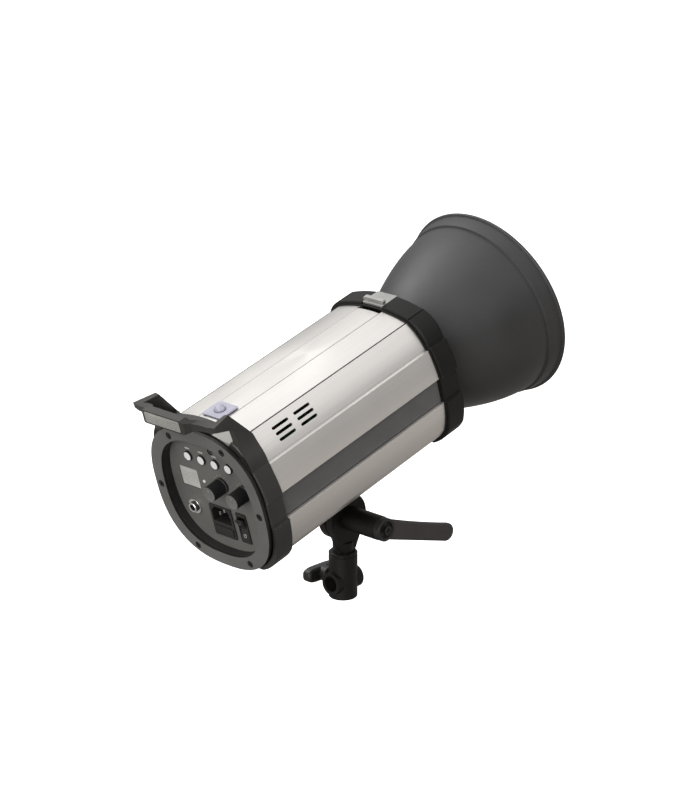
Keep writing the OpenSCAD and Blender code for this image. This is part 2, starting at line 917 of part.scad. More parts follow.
// Ring-shaped flash tube on two legs
module flash_tube() {
    color(glass) head() {
        translate([0, -tube_y, 0]) spun() translate([tube_ring_r, 0]) circle(tube_r);
        leg_places() rod(0, 0, tube_base_y[0], tube_y, tube_r);
    }
}

bell_start = 271;
bell_end = rim_y - 19;
bell_r = [54, 92.6];
bell_bulge = 1.6;
neck_y = [cavity_y[0] + 0.2, collar_end - 3];

// Outer radius of the bell at a fraction of its length
function bell_at(s) = bell_r[0] + (bell_r[1] - bell_r[0]) * (1 - pow(1 - s, bell_bulge));

function bell_profile(inset) = concat(
    [[neck_r - inset, neck_y[0]], [neck_r - inset, neck_y[1]]],
    [for (i = [0:14]) [bell_at(i / 14) - inset, bell_start + (bell_end - bell_start) * i / 14]],
    [[rim_r - 5.4 - inset, bell_end + 0.8], [rim_r - 3.6 - inset, rim_y - 9],
     [rim_r - 2 - inset, rim_y - 3]]);

module reflector() {
    outer = bell_profile(0);
    inner = bell_profile(spun_wall);
    color(black) head() {
        spun() polygon(concat(outer, [for (i = [len(inner) - 1:-1:0]) inner[i]]));
        spun() translate([rim_r - 1.8, rim_y - 1.8]) circle(1.8);
        for (i = [0:2]) rotate([0, 120 * i, 0]) intersection() {
            difference() {
                rod(0, 0, neck_y[0], neck_y[0] + 3.4, lug_r);
                rod(0, 0, neck_y[0] - cut, neck_y[0] + 4, neck_r - 0.6);
            }
            wedge(lug_angle, neck_y[0] - cut, neck_y[0] + 4);
        }
    }
}

// ---------- tilt joint ----------

bolt_r = 4;
lug_x = [1.2, 10];
stand_disc_x = [-8, 0.1];
sleeve_end = -51;
hub_end = -57.4;
plate_t = 5.5;

// Carries what turns with the head about the tilt axis
module on_tilt_axis() {
    translate([0, -pivot_back, -pivot_drop]) children();
}

module tilt_lug() {
    top = pivot_drop - floor_z - gap;
    color(black) head() difference() {
        union() {
            on_tilt_axis() {
                translate([0, 0, top - plate_t])
                    linear_extrude(plate_t) rounded([48, 76], 8);
                side_slab(lug_x[0], lug_x[1]) {
                    circle(disc_r);
                    polygon([[-disc_r, 0], [disc_r, 0], [30, top - plate_t + 1],
                             [-30, top - plate_t + 1]]);
                }
            }
        }
        on_tilt_axis() axle(lug_x[0] - cut, lug_x[1] + cut, bolt_r + run_gap);
        plate_holes(-pivot_drop, -floor_z + cut, screw_r + gap);
    }
}

module lug_screws() {
    seat = -floor_z - gap - plate_t - gap;
    color(zinc) head() difference() {
        union() {
            plate_holes(seat - 2.4, seat, 3.6);
            plate_holes(seat - 0.1, -floor_z + 4.2, screw_r);
        }
        for (x = [-1, 1], y = [-1, 1])
            translate([x * plate_hole[0], -pivot_back + y * plate_hole[1], seat - 2.4 - cut])
                cylinder(h = 2.4, r = 1.8, $fn = 6);
    }
}

module tilt_bolt() {
    color(zinc) head() on_tilt_axis() {
        axle(sleeve_end - 3, lug_x[1] + 0.2, bolt_r);
        translate([lug_x[1] + gap, 0, 0]) rotate([0, 90, 0]) cylinder(h = 5, r = 7.2, $fn = 6);
    }
}

module friction_disc() {
    color("#7a5a3a") translate([0, 0, pivot_z]) difference() {
        axle(stand_disc_x[1] + 0.05, lug_x[0] - 0.05, disc_r - 1);
        axle(-cut, lug_x[0] + cut, bolt_r + run_gap);
    }
}

socket_depth = 37;

module stand_bracket() {
    neck_r = 10.3;
    lug_room = 2.4;
    neck_z = [48, pivot_z - disc_r - lug_room];
    boss_r = 11.3;
    boss_y = 17.6;
    color(black) difference() {
        union() {
            rotate_extrude() polygon([
                [0, 0], [socket_r - 1, 0], [socket_r, 1], [socket_r, neck_z[0] - 4.4],
                [socket_r - 0.6, neck_z[0] - 4], [socket_r - 0.6, neck_z[0] - 3],
                [socket_r, neck_z[0] - 2.6], [socket_r, neck_z[0] - 1.4],
                [socket_r - 1.4, neck_z[0]], [neck_r, neck_z[0]], [neck_r, neck_z[1]],
                [0, neck_z[1]]]);
            translate([0, 0, pivot_z]) axle(stand_disc_x[0], stand_disc_x[1], disc_r);
            side_slab(stand_disc_x[0], stand_disc_x[1])
                polygon([[-neck_r + 1.6, neck_z[0]], [neck_r - 1.6, neck_z[0]],
                         [19, pivot_z - 14], [-19, pivot_z - 14]]);
            rod(0, cross_z, -boss_y, boss_y, boss_r);
        }
        translate([0, 0, -cut]) cylinder(h = socket_depth + cut, r = spigot_r);
        rod(0, cross_z, -boss_y - cut, boss_y + cut, spigot_r);
        translate([0, 0, pivot_z]) axle(stand_disc_x[0] - cut, cut, bolt_r + run_gap);
        translate([0, 0, cross_z]) axle(0, socket_r + cut, lock_r + run_gap);
    }
}

module clamp_sleeve() {
    color(black) translate([0, 0, pivot_z]) difference() {
        axle(sleeve_end, stand_disc_x[0] - 0.05, 12);
        axle(sleeve_end - cut, 0, bolt_r + run_gap);
        axle(sleeve_end - cut, sleeve_end + 5, 8.6);
    }
}

// Clamping lever; its arm leaves the hub forwards
module tilt_lever() {
    arm_x = [-58.4, sleeve_end - 0.5];
    tip_r = 9;
    root = 10;
    color(charcoal) head() on_tilt_axis() rotate([lever_droop + tilt_rest, 0, 0])
        difference() {
            union() {
                axle(hub_end, sleeve_end + 4.6, 7.4);
                side_slab(arm_x[0], arm_x[1]) {
                    polygon([[0, 5.6], [-root, 9.8], [tip_r - lever_reach, tip_r],
                             [tip_r - lever_reach, -tip_r], [-root, -9.8], [0, -5.6]]);
                    translate([tip_r - lever_reach, 0]) circle(tip_r);
                }
            }
            axle(sleeve_end - 3.4, sleeve_end + 5, bolt_r + run_gap);
        }
}

module lever_screw() {
    color(black) head() on_tilt_axis() difference() {
        axle(hub_end - 3.2, hub_end - 1.05, 4.8);
        translate([hub_end - 4, 0, 0]) rotate([0, 90, 0]) cylinder(h = 2, r = 2.3, $fn = 6);
    }
}

lock_r = 4;
lock_tip = 8.4;

module lock_screw() {
    color(zinc) translate([0, 0, cross_z]) difference() {
        axle(lock_tip, 30, lock_r);
        translate([26, 0, 0]) rotate([0, 90, 0]) cylinder(h = 5, r = 1.6, $fn = 6);
    }
}

// Tee-shaped knob of the lock screw
module lock_knob() {
    hub_x = [18.4, 36];
    wing_x = [25, 37];
    color(black) translate([0, 0, cross_z]) difference() {
        union() {
            axle(hub_x[0], hub_x[1], 8);
            hull() for (y = [-14, 14])
                translate([0, y, 0]) axle(wing_x[0], wing_x[1], 7, $fn = blend_fn);
        }
        axle(hub_x[0] - cut, 30.2, lock_r + run_gap);
    }
}

cover();
side_inlays();
slave_window();
slave_cell();
rear_collar();
carry_handle();
handle_insert();
rear_bezel();
bezel_screws();
rear_frame();
control_panel();
display_window();
display_module();
button_1();
button_2();
button_3();
button_4();
control_board();
power_knob();
lamp_knob();
potentiometers();
ready_led();
panel_sensor();
sync_jack();
jack_nut();
mains_inlet();
inlet_pins();
fuse_drawer();
switch_frame();
switch_rocker();
fan_frame();
fan_rotor();
chassis();
capacitors();
capacitor_clamp();
board_posts();
power_board();
transformer();
heat_sink();
front_collar();
mount_plate();
bayonet_ring();
latch_slider();
latch_spring();
lamp_socket();
modelling_lamp();
tube_base();
flash_tube();
reflector();
tilt_lug();
lug_screws();
tilt_bolt();
friction_disc();
stand_bracket();
clamp_sleeve();
tilt_lever();
lever_screw();
lock_screw();
lock_knob();
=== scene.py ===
"""Looks of the monolight strobe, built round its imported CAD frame."""
import json
import math

import bmesh
import bpy
from mathutils import Matrix, Vector


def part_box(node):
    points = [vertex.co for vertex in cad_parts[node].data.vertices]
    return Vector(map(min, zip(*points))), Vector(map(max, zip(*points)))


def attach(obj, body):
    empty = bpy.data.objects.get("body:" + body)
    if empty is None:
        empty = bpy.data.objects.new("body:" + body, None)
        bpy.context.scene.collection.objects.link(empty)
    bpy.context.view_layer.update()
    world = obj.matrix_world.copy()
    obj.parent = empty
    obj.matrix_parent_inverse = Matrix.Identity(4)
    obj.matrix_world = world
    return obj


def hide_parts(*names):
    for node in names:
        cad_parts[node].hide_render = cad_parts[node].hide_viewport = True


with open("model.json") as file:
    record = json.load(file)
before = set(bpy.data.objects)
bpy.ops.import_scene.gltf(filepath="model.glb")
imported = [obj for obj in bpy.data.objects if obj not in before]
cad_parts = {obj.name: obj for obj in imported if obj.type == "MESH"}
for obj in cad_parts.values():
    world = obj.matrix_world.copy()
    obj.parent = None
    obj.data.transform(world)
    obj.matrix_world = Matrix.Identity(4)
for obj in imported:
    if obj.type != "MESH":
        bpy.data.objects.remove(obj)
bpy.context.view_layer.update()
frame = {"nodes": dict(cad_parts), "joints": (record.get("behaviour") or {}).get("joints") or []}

MM = 0.001
NODES = frame["nodes"]
JOINTS = {j["name"]: j for j in frame["joints"]}

# ---------- the head's own frame ----------
# The origin is the middle of the bezel's face, +Y points out of the back and +Z is the
# head's own up. Lengths inside it are in millimetres.

BACK = Vector(JOINTS["fan_spin"]["axis"]).normalized()
SIDE = Vector((1, 0, 0))
UP = SIDE.cross(BACK)
on_axis = Vector(JOINTS["fan_spin"]["pos_m"])
face = max(v.co.dot(BACK) for v in NODES["rear_bezel"].data.vertices)
ORIGIN = on_axis + BACK * (face - on_axis.dot(BACK))
HEAD = Matrix((
    (SIDE.x, BACK.x, UP.x, ORIGIN.x),
    (SIDE.y, BACK.y, UP.y, ORIGIN.y),
    (SIDE.z, BACK.z, UP.z, ORIGIN.z),
    (0, 0, 0, 1))) @ Matrix.Scale(MM, 4)
TILT = math.asin(-BACK.z)
PIVOT = Vector(JOINTS["head_tilt"]["pos_m"])
TILT_FRAME = Matrix.Translation(PIVOT) @ Matrix.Scale(MM, 4)


def in_head(node):
    """Lowest and highest corner of a CAD node in the head's frame, in millimetres."""
    inverse = HEAD.inverted()
    points = [inverse @ v.co for v in NODES[node].data.vertices]
    return (Vector([min(p[i] for p in points) for i in range(3)]),
            Vector([max(p[i] for p in points) for i in range(3)]))


# ---------- node helpers for materials ----------

class Nodes:
    """A material under construction, with short ways to add and join its nodes."""

    def __init__(self, name):
        self.material = bpy.data.materials.new(name)
        self.material.use_nodes = True
        self.tree = self.material.node_tree
        self.shader = self.tree.nodes["Principled BSDF"]
        self.coords = self.tree.nodes.new("ShaderNodeTexCoord").outputs["Object"]

    def set(self, **values):
        for key, value in values.items():
            self.shader.inputs[key.replace("_", " ")].default_value = value

    def link(self, output, node, key):
        self.tree.links.new(output, node.inputs[key])

    def stretched(self, scale):
        """Object coordinates in the head's directions, stretched by a scale per axis."""
        turn = self.tree.nodes.new("ShaderNodeMapping")
        turn.vector_type = "POINT"
        turn.inputs["Rotation"].default_value = (TILT, 0, 0)
        self.link(self.coords, turn, "Vector")
        size = self.tree.nodes.new("ShaderNodeVectorMath")
        size.operation = "MULTIPLY"
        size.inputs[1].default_value = scale
        self.link(turn.outputs[0], size, 0)
        return size.outputs[0]

    def noise(self, scale, detail=3.0, rough=0.55, vector=None):
        """Grey noise; scale counts features per metre."""
        node = self.tree.nodes.new("ShaderNodeTexNoise")
        node.inputs["Scale"].default_value = scale
        node.inputs["Detail"].default_value = detail
        node.inputs["Roughness"].default_value = rough
        self.link(vector or self.coords, node, "Vector")
        return node.outputs["Fac"]

    def cells(self, scale, vector=None):
        node = self.tree.nodes.new("ShaderNodeTexVoronoi")
        node.inputs["Scale"].default_value = scale
        self.link(vector or self.coords, node, "Vector")
        return node.outputs["Distance"]

    def ramp(self, value, low, high, start=0.0, end=1.0):
        """value from start..end mapped to low..high, clamped."""
        node = self.tree.nodes.new("ShaderNodeMapRange")
        for key, number in (("From Min", start), ("From Max", end),
                            ("To Min", low), ("To Max", high)):
            node.inputs[key].default_value = number
        self.link(value, node, "Value")
        return node.outputs["Result"]

    def mix(self, factor, a, b):
        node = self.tree.nodes.new("ShaderNodeMix")
        node.data_type = "RGBA"
        for key, value in (("A", a), ("B", b)):
            socket = [s for s in node.inputs if s.name == key and s.type == "RGBA"][0]
            if isinstance(value, tuple):
                socket.default_value = value + (1,)
            else:
                self.tree.links.new(value, socket)
        self.link(factor, node, 0)
        return [s for s in node.outputs if s.type == "RGBA"][0]

    def math(self, operation, a, b):
        node = self.tree.nodes.new("ShaderNodeMath")
        node.operation = operation
        for i, value in enumerate((a, b)):
            if isinstance(value, (int, float)):
                node.inputs[i].default_value = value
            else:
                self.link(value, node, i)
        return node.outputs[0]

    def edges(self, radius, low=0.02, high=0.25):
        """1 on convex edges and 0 elsewhere, from how far a bevelled normal bends away."""
        bevel = self.tree.nodes.new("ShaderNodeBevel")
        bevel.samples = 4
        bevel.inputs["Radius"].default_value = radius
        geometry = self.tree.nodes.new("ShaderNodeNewGeometry")
        dot = self.tree.nodes.new("ShaderNodeVectorMath")
        dot.operation = "DOT_PRODUCT"
        self.link(bevel.outputs[0], dot, 0)
        self.link(geometry.outputs["Normal"], dot, 1)
        return self.ramp(self.math("SUBTRACT", 1.0, dot.outputs["Value"]), 0, 1, low, high)

    def crevices(self, distance, low=0.35, high=0.75):
        """1 deep in narrow gaps and 0 on open surfaces."""
        node = self.tree.nodes.new("ShaderNodeAmbientOcclusion")
        node.samples = 8
        node.inputs["Distance"].default_value = distance
        return self.ramp(node.outputs["AO"], 1, 0, low, high)

    def facing(self, direction, low, high):
        """1 where the surface faces a direction and 0 where it doesn't."""
        geometry = self.tree.nodes.new("ShaderNodeNewGeometry")
        dot = self.tree.nodes.new("ShaderNodeVectorMath")
        dot.operation = "DOT_PRODUCT"
        dot.inputs[1].default_value = direction
        self.link(geometry.outputs["Normal"], dot, 0)
        return self.ramp(dot.outputs["Value"], 0, 1, low, high)

    def bump(self, height, distance, strength=1.0):
        node = self.tree.nodes.new("ShaderNodeBump")
        node.inputs["Distance"].default_value = distance
        node.inputs["Strength"].default_value = strength
        self.link(height, node, "Height")
        self.link(node.outputs[0], self.shader, "Normal")

    def colour(self, output):
        self.link(output, self.shader, "Base Color")

    def roughness(self, output):
        self.link(output, self.shader, "Roughness")


def shade(colour, factor):
    return tuple(min(1.0, c * factor) for c in colour)


def moulding(name, colour, rough=0.48, grain=1400, depth=0.00006, wear=0.35, gloss=0.4):
    """Moulded plastic: spark-eroded grain, cloudy sheen and edges rubbed smooth and paler."""
    n = Nodes(name)
    cloud = n.noise(28, 4)
    grain_noise = n.noise(grain, 4, 0.6)
    base = n.mix(n.ramp(cloud, 0, 1, 0.3, 0.7), shade(colour, 0.82), shade(colour, 1.22))
    edge_lift = n.math("MULTIPLY", n.edges(0.0006), wear)
    n.colour(n.mix(edge_lift, base, shade(colour, 2.6)))
    sheen = n.math("ADD", n.ramp(cloud, -0.06, 0.06, 0.3, 0.7),
                   n.ramp(grain_noise, -0.07, 0.07, 0.3, 0.7))
    n.roughness(n.math("ADD", sheen, rough))
    n.set(Specular_IOR_Level=gloss)
    n.bump(grain_noise, depth, 0.8)
    return n.material


def paint(name, colour, rough=0.4, grain=650, depth=0.00005, wear=0.5, under=(0.42, 0.41, 0.4)):
    """Baked paint on metal: fine orange peel, dust in the sheen and edges worn to the metal."""
    n = Nodes(name)
    peel = n.noise(grain, 3, 0.5)
    cloud = n.noise(18, 5)
    chips = n.ramp(n.noise(240, 5, 0.7), 0, 1, 0.52, 0.66)
    worn = n.math("MULTIPLY", n.math("MULTIPLY", n.edges(0.0005), chips), wear)
    base = n.mix(n.ramp(cloud, 0, 1, 0.3, 0.7), shade(colour, 0.85), shade(colour, 1.2))
    n.colour(n.mix(worn, base, under))
    n.roughness(n.math("ADD", n.ramp(cloud, -0.06, 0.07, 0.3, 0.7), rough))
    n.bump(peel, depth, 0.9)
    return n.material


def metal(name, colour, rough=0.3, stretch=(900, 900, 900), depth=0.00001, wear=0.3):
    """Bare or plated metal with machining marks, smears and brighter rubbed edges."""
    n = Nodes(name)
    marks = n.noise(1, 3, 0.6, n.stretched(stretch))
    smear = n.noise(35, 5)
    base = n.mix(n.ramp(smear, 0, 1, 0.3, 0.7), shade(colour, 0.88), shade(colour, 1.08))
    edge_lift = n.math("MULTIPLY", n.edges(0.0004), wear)
    n.colour(n.mix(edge_lift, base, shade(colour, 1.4)))
    n.roughness(n.math("ADD", n.math("ADD", n.ramp(smear, -0.05, 0.07, 0.3, 0.7),
                                     n.ramp(marks, -0.06, 0.06, 0.3, 0.7)), rough))
    n.set(Metallic=1.0)
    n.bump(marks, depth, 0.7)
    return n.material


def anodised(name, colour):
    """Satin anodised extrusion: bead-blasted grain with faint drawing lines along the head, painted
    shade in its grooves and a painted highlight with wear on its edges.
    """
    n = Nodes(name)
    lines = n.noise(1, 2, 0.5, n.stretched((1500, 6, 1500)))
    grain = n.noise(2600, 2, 0.5)
    smear = n.noise(14, 5)
    base = n.mix(n.ramp(lines, 0, 1, 0.3, 0.7), shade(colour, 0.965), shade(colour, 1.03))
    # Painted highlight: convex edges turn near-white and less metallic, standing for edge glints and
    # for wear.
    edge_lift = n.math("MULTIPLY", n.edges(0.0007), 0.85)
    edge_highlight_and_wear = n.mix(edge_lift, base, (0.97, 0.96, 0.94))
    # Painted shade: ambient occlusion darkens the grooves and the metal next to the collars to
    # near-black.
    n.colour(n.mix(n.crevices(0.0028, 0.3, 0.9), edge_highlight_and_wear, (0.06, 0.057, 0.053)))
    sheen = n.math("ADD", n.ramp(grain, -0.04, 0.04, 0.3, 0.7),
                   n.ramp(smear, -0.035, 0.045, 0.3, 0.7))
    n.roughness(n.math("ADD", sheen, 0.36))
    n.set(Anisotropic=0.3)
    n.link(n.math("SUBTRACT", 0.92, edge_lift), n.shader, "Metallic")
    n.bump(n.math("ADD", grain, n.math("MULTIPLY", lines, 0.6)), 0.000012, 0.6)
    return n.material


def glassy(name, colour, rough=0.03, ior=1.46, bump=0.00002, clear=1.0):
    """Clear glass or acrylic with faint ripples, dust and fingerprints."""
    n = Nodes(name)
    dust = n.ramp(n.noise(420, 5, 0.7), 0, 0.12, 0.5, 0.75)
    smear = n.ramp(n.noise(40, 4), 0, 0.07, 0.45, 0.7)
    n.roughness(n.math("ADD", n.math("ADD", dust, smear), rough))
    n.colour(n.mix(n.ramp(n.noise(30, 2), 0, 1, 0.3, 0.7), shade(colour, 0.96), colour))
    n.set(Transmission_Weight=clear, IOR=ior)
    n.bump(n.noise(60, 2), bump, 0.5)
    return n.material


def faced(name, face_colour, shaded_side_colour, rough=0.5, grain=1600, depth=0.00005):
    """Moulding coloured by which way it faces: a paler matt face where it looks out of the back and
    near-black on its other sides, which is painted shade over black plastic.
    """
    n = Nodes(name)
    cloud = n.noise(28, 4)
    grain_noise = n.noise(grain, 4, 0.6)
    matt = n.mix(n.ramp(cloud, 0, 1, 0.3, 0.7), shade(face_colour, 0.88), shade(face_colour, 1.12))
    edge_lift = n.mix(n.math("MULTIPLY", n.edges(0.0005), 0.3), matt, shade(face_colour, 1.9))
    # Painted shade: every surface that does not face out of the back takes the near-black side
    # colour.
    n.colour(n.mix(n.facing(BACK, 0.75, 0.92), shaded_side_colour, edge_lift))
    sheen = n.math("ADD", n.ramp(cloud, -0.05, 0.05, 0.3, 0.7),
                   n.ramp(grain_noise, -0.06, 0.06, 0.3, 0.7))
    n.roughness(n.math("ADD", sheen, rough))
    n.set(Specular_IOR_Level=0.35)
    n.bump(grain_noise, depth, 0.8)
    return n.material


def hammered_silver(name):
    """Bright pebbled metal that spreads the light inside the bell."""
    n = Nodes(name)
    pebbles = n.ramp(n.cells(340), 1, 0, 0.0, 0.7)
    smear = n.noise(30, 4)
    n.colour(n.mix(n.ramp(smear, 0, 1, 0.3, 0.7), (0.74, 0.74, 0.74), (0.86, 0.86, 0.85)))
    n.roughness(n.ramp(smear, 0.2, 0.32, 0.3, 0.7))
    n.set(Metallic=1.0)
    n.bump(pebbles, 0.00035, 0.7)
    return n.material


def board(name):
    """Green circuit board with copper lanes under the mask and pale solder dots."""
    n = Nodes(name)
    lanes = n.tree.nodes.new("ShaderNodeTexWave")
    lanes.inputs["Scale"].default_value = 160
    lanes.inputs["Distortion"].default_value = 6
    n.link(n.coords, lanes, "Vector")
    lane = n.ramp(lanes.outputs["Fac"], 0, 1, 0.45, 0.6)
    mask = n.mix(lane, (0.012, 0.09, 0.035), (0.03, 0.19, 0.07))
    dots = n.ramp(n.cells(230), 1, 0, 0.08, 0.16)
    n.colour(n.mix(dots, mask, (0.6, 0.6, 0.58)))
    n.roughness(n.ramp(lane, 0.28, 0.4))
    n.bump(n.math("ADD", lane, dots), 0.00008, 0.6)
    return n.material


def display_glass(name):
    """Pale unlit display with a greenish cast and faint pixels."""
    n = Nodes(name)
    pixels = n.cells(2600)
    cloud = n.noise(60, 3)
    tint = n.mix(n.ramp(cloud, 0, 1, 0.3, 0.7), (0.5, 0.49, 0.455), (0.6, 0.585, 0.545))
    n.colour(n.mix(n.ramp(pixels, 0, 0.15, 0.2, 0.6), tint, (0.4, 0.395, 0.37)))
    n.roughness(n.ramp(cloud, 0.14, 0.24, 0.3, 0.7))
    n.bump(pixels, 0.00001, 0.3)
    return n.material


# Near-black for the sides of faced mouldings: black plastic with painted shade.
SHADED_SIDE_BLACK = (0.009, 0.0085, 0.008)
ALUMINIUM = anodised("satin_aluminium", (0.76, 0.735, 0.705))
LATCH_METAL = metal("latch_metal", (0.42, 0.42, 0.405), 0.5, (1500, 1500, 1500), 0.00004)
BLACK = moulding("black_plastic", (0.014, 0.0135, 0.013), 0.44)
LEVER = moulding("lever_plastic", (0.04, 0.034, 0.033), 0.5, 1300, 0.00007)
COLLAR = moulding("collar_plastic", (0.028, 0.0255, 0.0235), 0.4, 1200, 0.00006, 0.5)
FRONT_COLLAR = moulding("front_collar_plastic", (0.009, 0.0085, 0.008), 0.5, 1200, 0.00006,
                        0.5, 0.2)
# Bezel, panel and knobs are pale where they face out of the back and painted into shade on their
# sides.
BEZEL = faced("bezel_plastic", (0.13, 0.128, 0.122), SHADED_SIDE_BLACK)
PANEL = faced("panel_plastic", (0.13, 0.128, 0.12), SHADED_SIDE_BLACK, 0.5, 2200, 0.00004)
KNOB = faced("knob_plastic", (0.15, 0.147, 0.14), (0.007, 0.007, 0.007), 0.45)
GRIP_GREY = moulding("grey_plastic", (0.3, 0.29, 0.27), 0.55, 1500, 0.00008)
INLAY = paint("grey_inlay", (0.105, 0.105, 0.103), 0.34, 1600, 0.00003)
KEYS = moulding("key_plastic", (1.0, 1.0, 0.98), 0.3, 900, 0.00002, 0.0, 0.5)
GLOSS = moulding("black_gloss", (0.014, 0.014, 0.015), 0.2, 500, 0.00001, 0.3, 0.5)
BRACKET = moulding("bracket_paint", (0.0075, 0.0068, 0.0063), 0.5, 900, 0.00008, 0.3, 0.22)
BELL_BLACK = paint("reflector_paint", (0.032, 0.031, 0.031), 0.46, 1500, 0.00003, 0.3)
BELL_SILVER = hammered_silver("reflector_silver")
ZINC = metal("zinc_plate", (0.56, 0.57, 0.58), 0.34)
SCREW = metal("black_oxide", (0.05, 0.05, 0.052), 0.36, (1400, 1400, 1400), 0.00002, 0.6)
CHROME = metal("chrome_plate", (0.82, 0.82, 0.82), 0.09, (700, 700, 700), 0.000004)
BRASS = metal("brass", (0.72, 0.55, 0.26), 0.28)
CERAMIC = moulding("ceramic", (0.74, 0.71, 0.65), 0.35, 500, 0.00003, 0.0, 0.5)
CAPACITOR = moulding("capacitor_sleeve", (0.02, 0.028, 0.05), 0.3, 300, 0.00004, 0.2, 0.5)
WINDING = moulding("winding", (0.25, 0.1, 0.035), 0.4, 700, 0.0002, 0.2)
FIBRE = moulding("friction_fibre", (0.16, 0.1, 0.06), 0.8, 900, 0.0001)
BOARD = board("circuit_board")
DISPLAY = display_glass("display_glass")
WINDOW = glassy("window_acrylic", (0.62, 0.61, 0.72), 0.14, 1.49, clear=0.4)
LAMP_GLASS = glassy("lamp_glass", (0.98, 0.99, 1.0), 0.02)
TUBE_GLASS = glassy("tube_glass", (0.97, 0.97, 0.93), 0.05)
SEGMENTS = moulding("display_segments", (0.4, 0.4, 0.37), 0.4, 2500, 0.00001, 0.0)
MARKS = moulding("printed_marks", (0.5, 0.49, 0.46), 0.6, 2500, 0.00001, 0.0)
# Violet near-black for the painted dark edge round the slave lens.
LENS_RIM_SHADE_VIOLET = moulding("lens_rim_shade_violet", (0.05, 0.045, 0.09), 0.25, 900, 0.00001, 0.0)

# ---------- CAD nodes that keep their shape ----------

NODE_LOOK = {
    "cover": (ALUMINIUM, 0.35), "side_inlays": (INLAY, 0.15), "slave_window": (WINDOW, 0.3),
    "slave_cell": (GLOSS, 0.2), "rear_collar": (COLLAR, 0.6), "carry_handle": (COLLAR, 1.0),
    "handle_insert": (GRIP_GREY, 0.5), "rear_bezel": (BEZEL, 0.8), "bezel_screws": (SCREW, 0.2),
    "rear_frame": (BLACK, 0.3), "control_panel": (PANEL, 0.2), "display_window": (DISPLAY, 0.15),
    "display_module": (BLACK, 0.2), "button_1": (KEYS, 0.5), "button_2": (KEYS, 0.5),
    "button_3": (KEYS, 0.5), "button_4": (KEYS, 0.5), "control_board": (BOARD, 0.1),
    "power_knob": (BLACK, 0.4), "lamp_knob": (BLACK, 0.4), "potentiometers": (ZINC, 0.3),
    "ready_led": (KEYS, 0.3), "panel_sensor": (GLOSS, 0.3), "sync_jack": (BLACK, 0.3),
    "jack_nut": (CHROME, 0.3), "mains_inlet": (BLACK, 0.3), "inlet_pins": (ZINC, 0.3),
    "fuse_drawer": (BLACK, 0.3), "switch_frame": (BLACK, 0.3), "switch_rocker": (BLACK, 0.4),
    "fan_frame": (BLACK, 0.4), "fan_rotor": (BLACK, 0.2), "chassis": (ZINC, 0.2),
    "capacitors": (CAPACITOR, 0.8), "capacitor_clamp": (ZINC, 0.3), "board_posts": (BRASS, 0.2),
    "power_board": (BOARD, 0.1), "transformer": (WINDING, 0.8), "heat_sink": (ZINC, 0.2),
    "front_collar": (COLLAR, 0.6), "mount_plate": (ZINC, 0.2), "bayonet_ring": (ZINC, 0.3),
    "latch_slider": (LATCH_METAL, 0.4), "latch_spring": (ZINC, 0.05),
    "lamp_socket": (CERAMIC, 0.5), "modelling_lamp": (LAMP_GLASS, 0.3),
    "tube_base": (CERAMIC, 0.5), "flash_tube": (TUBE_GLASS, 0.1), "reflector": (BELL_BLACK, 0.2),
    "tilt_lug": (BRACKET, 0.7), "lug_screws": (ZINC, 0.3), "tilt_bolt": (ZINC, 0.3),
    "friction_disc": (FIBRE, 0.1), "stand_bracket": (BRACKET, 0.6),
    "clamp_sleeve": (BRACKET, 0.5), "tilt_lever": (BLACK, 0.9), "lever_screw": (SCREW, 0.3),
    "lock_screw": (ZINC, 0.2), "lock_knob": (BLACK, 0.8),
}


def soft_normals():
    """Modifier group: clears imported normals, joins split corners and shades every face smooth;
    true edges are left to the modifiers after it.
    """
    tree = bpy.data.node_groups.new("soft_normals", "GeometryNodeTree")
    tree.interface.new_socket("Geometry", in_out="INPUT", socket_type="NodeSocketGeometry")
    tree.interface.new_socket("Geometry", in_out="OUTPUT", socket_type="NodeSocketGeometry")
    start = tree.nodes.new("NodeGroupInput")
    end = tree.nodes.new("NodeGroupOutput")
    clear = tree.nodes.new("GeometryNodeRemoveAttribute")
    clear.inputs["Name"].default_value = "custom_normal"
    merge = tree.nodes.new("GeometryNodeMergeByDistance")
    merge.inputs["Distance"].default_value = 0.000002
    smooth = tree.nodes.new("GeometryNodeSetShadeSmooth")
    tree.links.new(start.outputs[0], clear.inputs["Geometry"])
    tree.links.new(clear.outputs[0], merge.inputs["Geometry"])
    tree.links.new(merge.outputs[0], smooth.inputs["Geometry"])
    tree.links.new(smooth.outputs[0], end.inputs[0])
    return tree


SOFT_NORMALS = soft_normals()
EDGE_ANGLE = math.radians(28)


def dress(node, material, bevel):
    """Gives a CAD node its material and small rounded edges, bevel millimetres wide."""
    obj = NODES[node]
    obj.data.materials.clear()
    obj.data.materials.append(material)
    obj.modifiers.new("soft", "NODES").node_group = SOFT_NORMALS
    flat = obj.modifiers.new("flat", "DECIMATE")
    flat.decimate_type = "DISSOLVE"
    flat.angle_limit = math.radians(0.4)
    rounding(obj, bevel)


def rounding(obj, bevel, segments=2):
    edge = obj.modifiers.new("edge", "BEVEL")
    edge.width = bevel * MM
    edge.segments = segments
    edge.limit_method = "ANGLE"
    edge.angle_limit = EDGE_ANGLE
    edge.harden_normals = True
    edge.use_clamp_overlap = True


for node_name, (look, bevel_mm) in NODE_LOOK.items():
    dress(node_name, look, bevel_mm)

# ---------- mesh helpers for the replaced pieces ----------

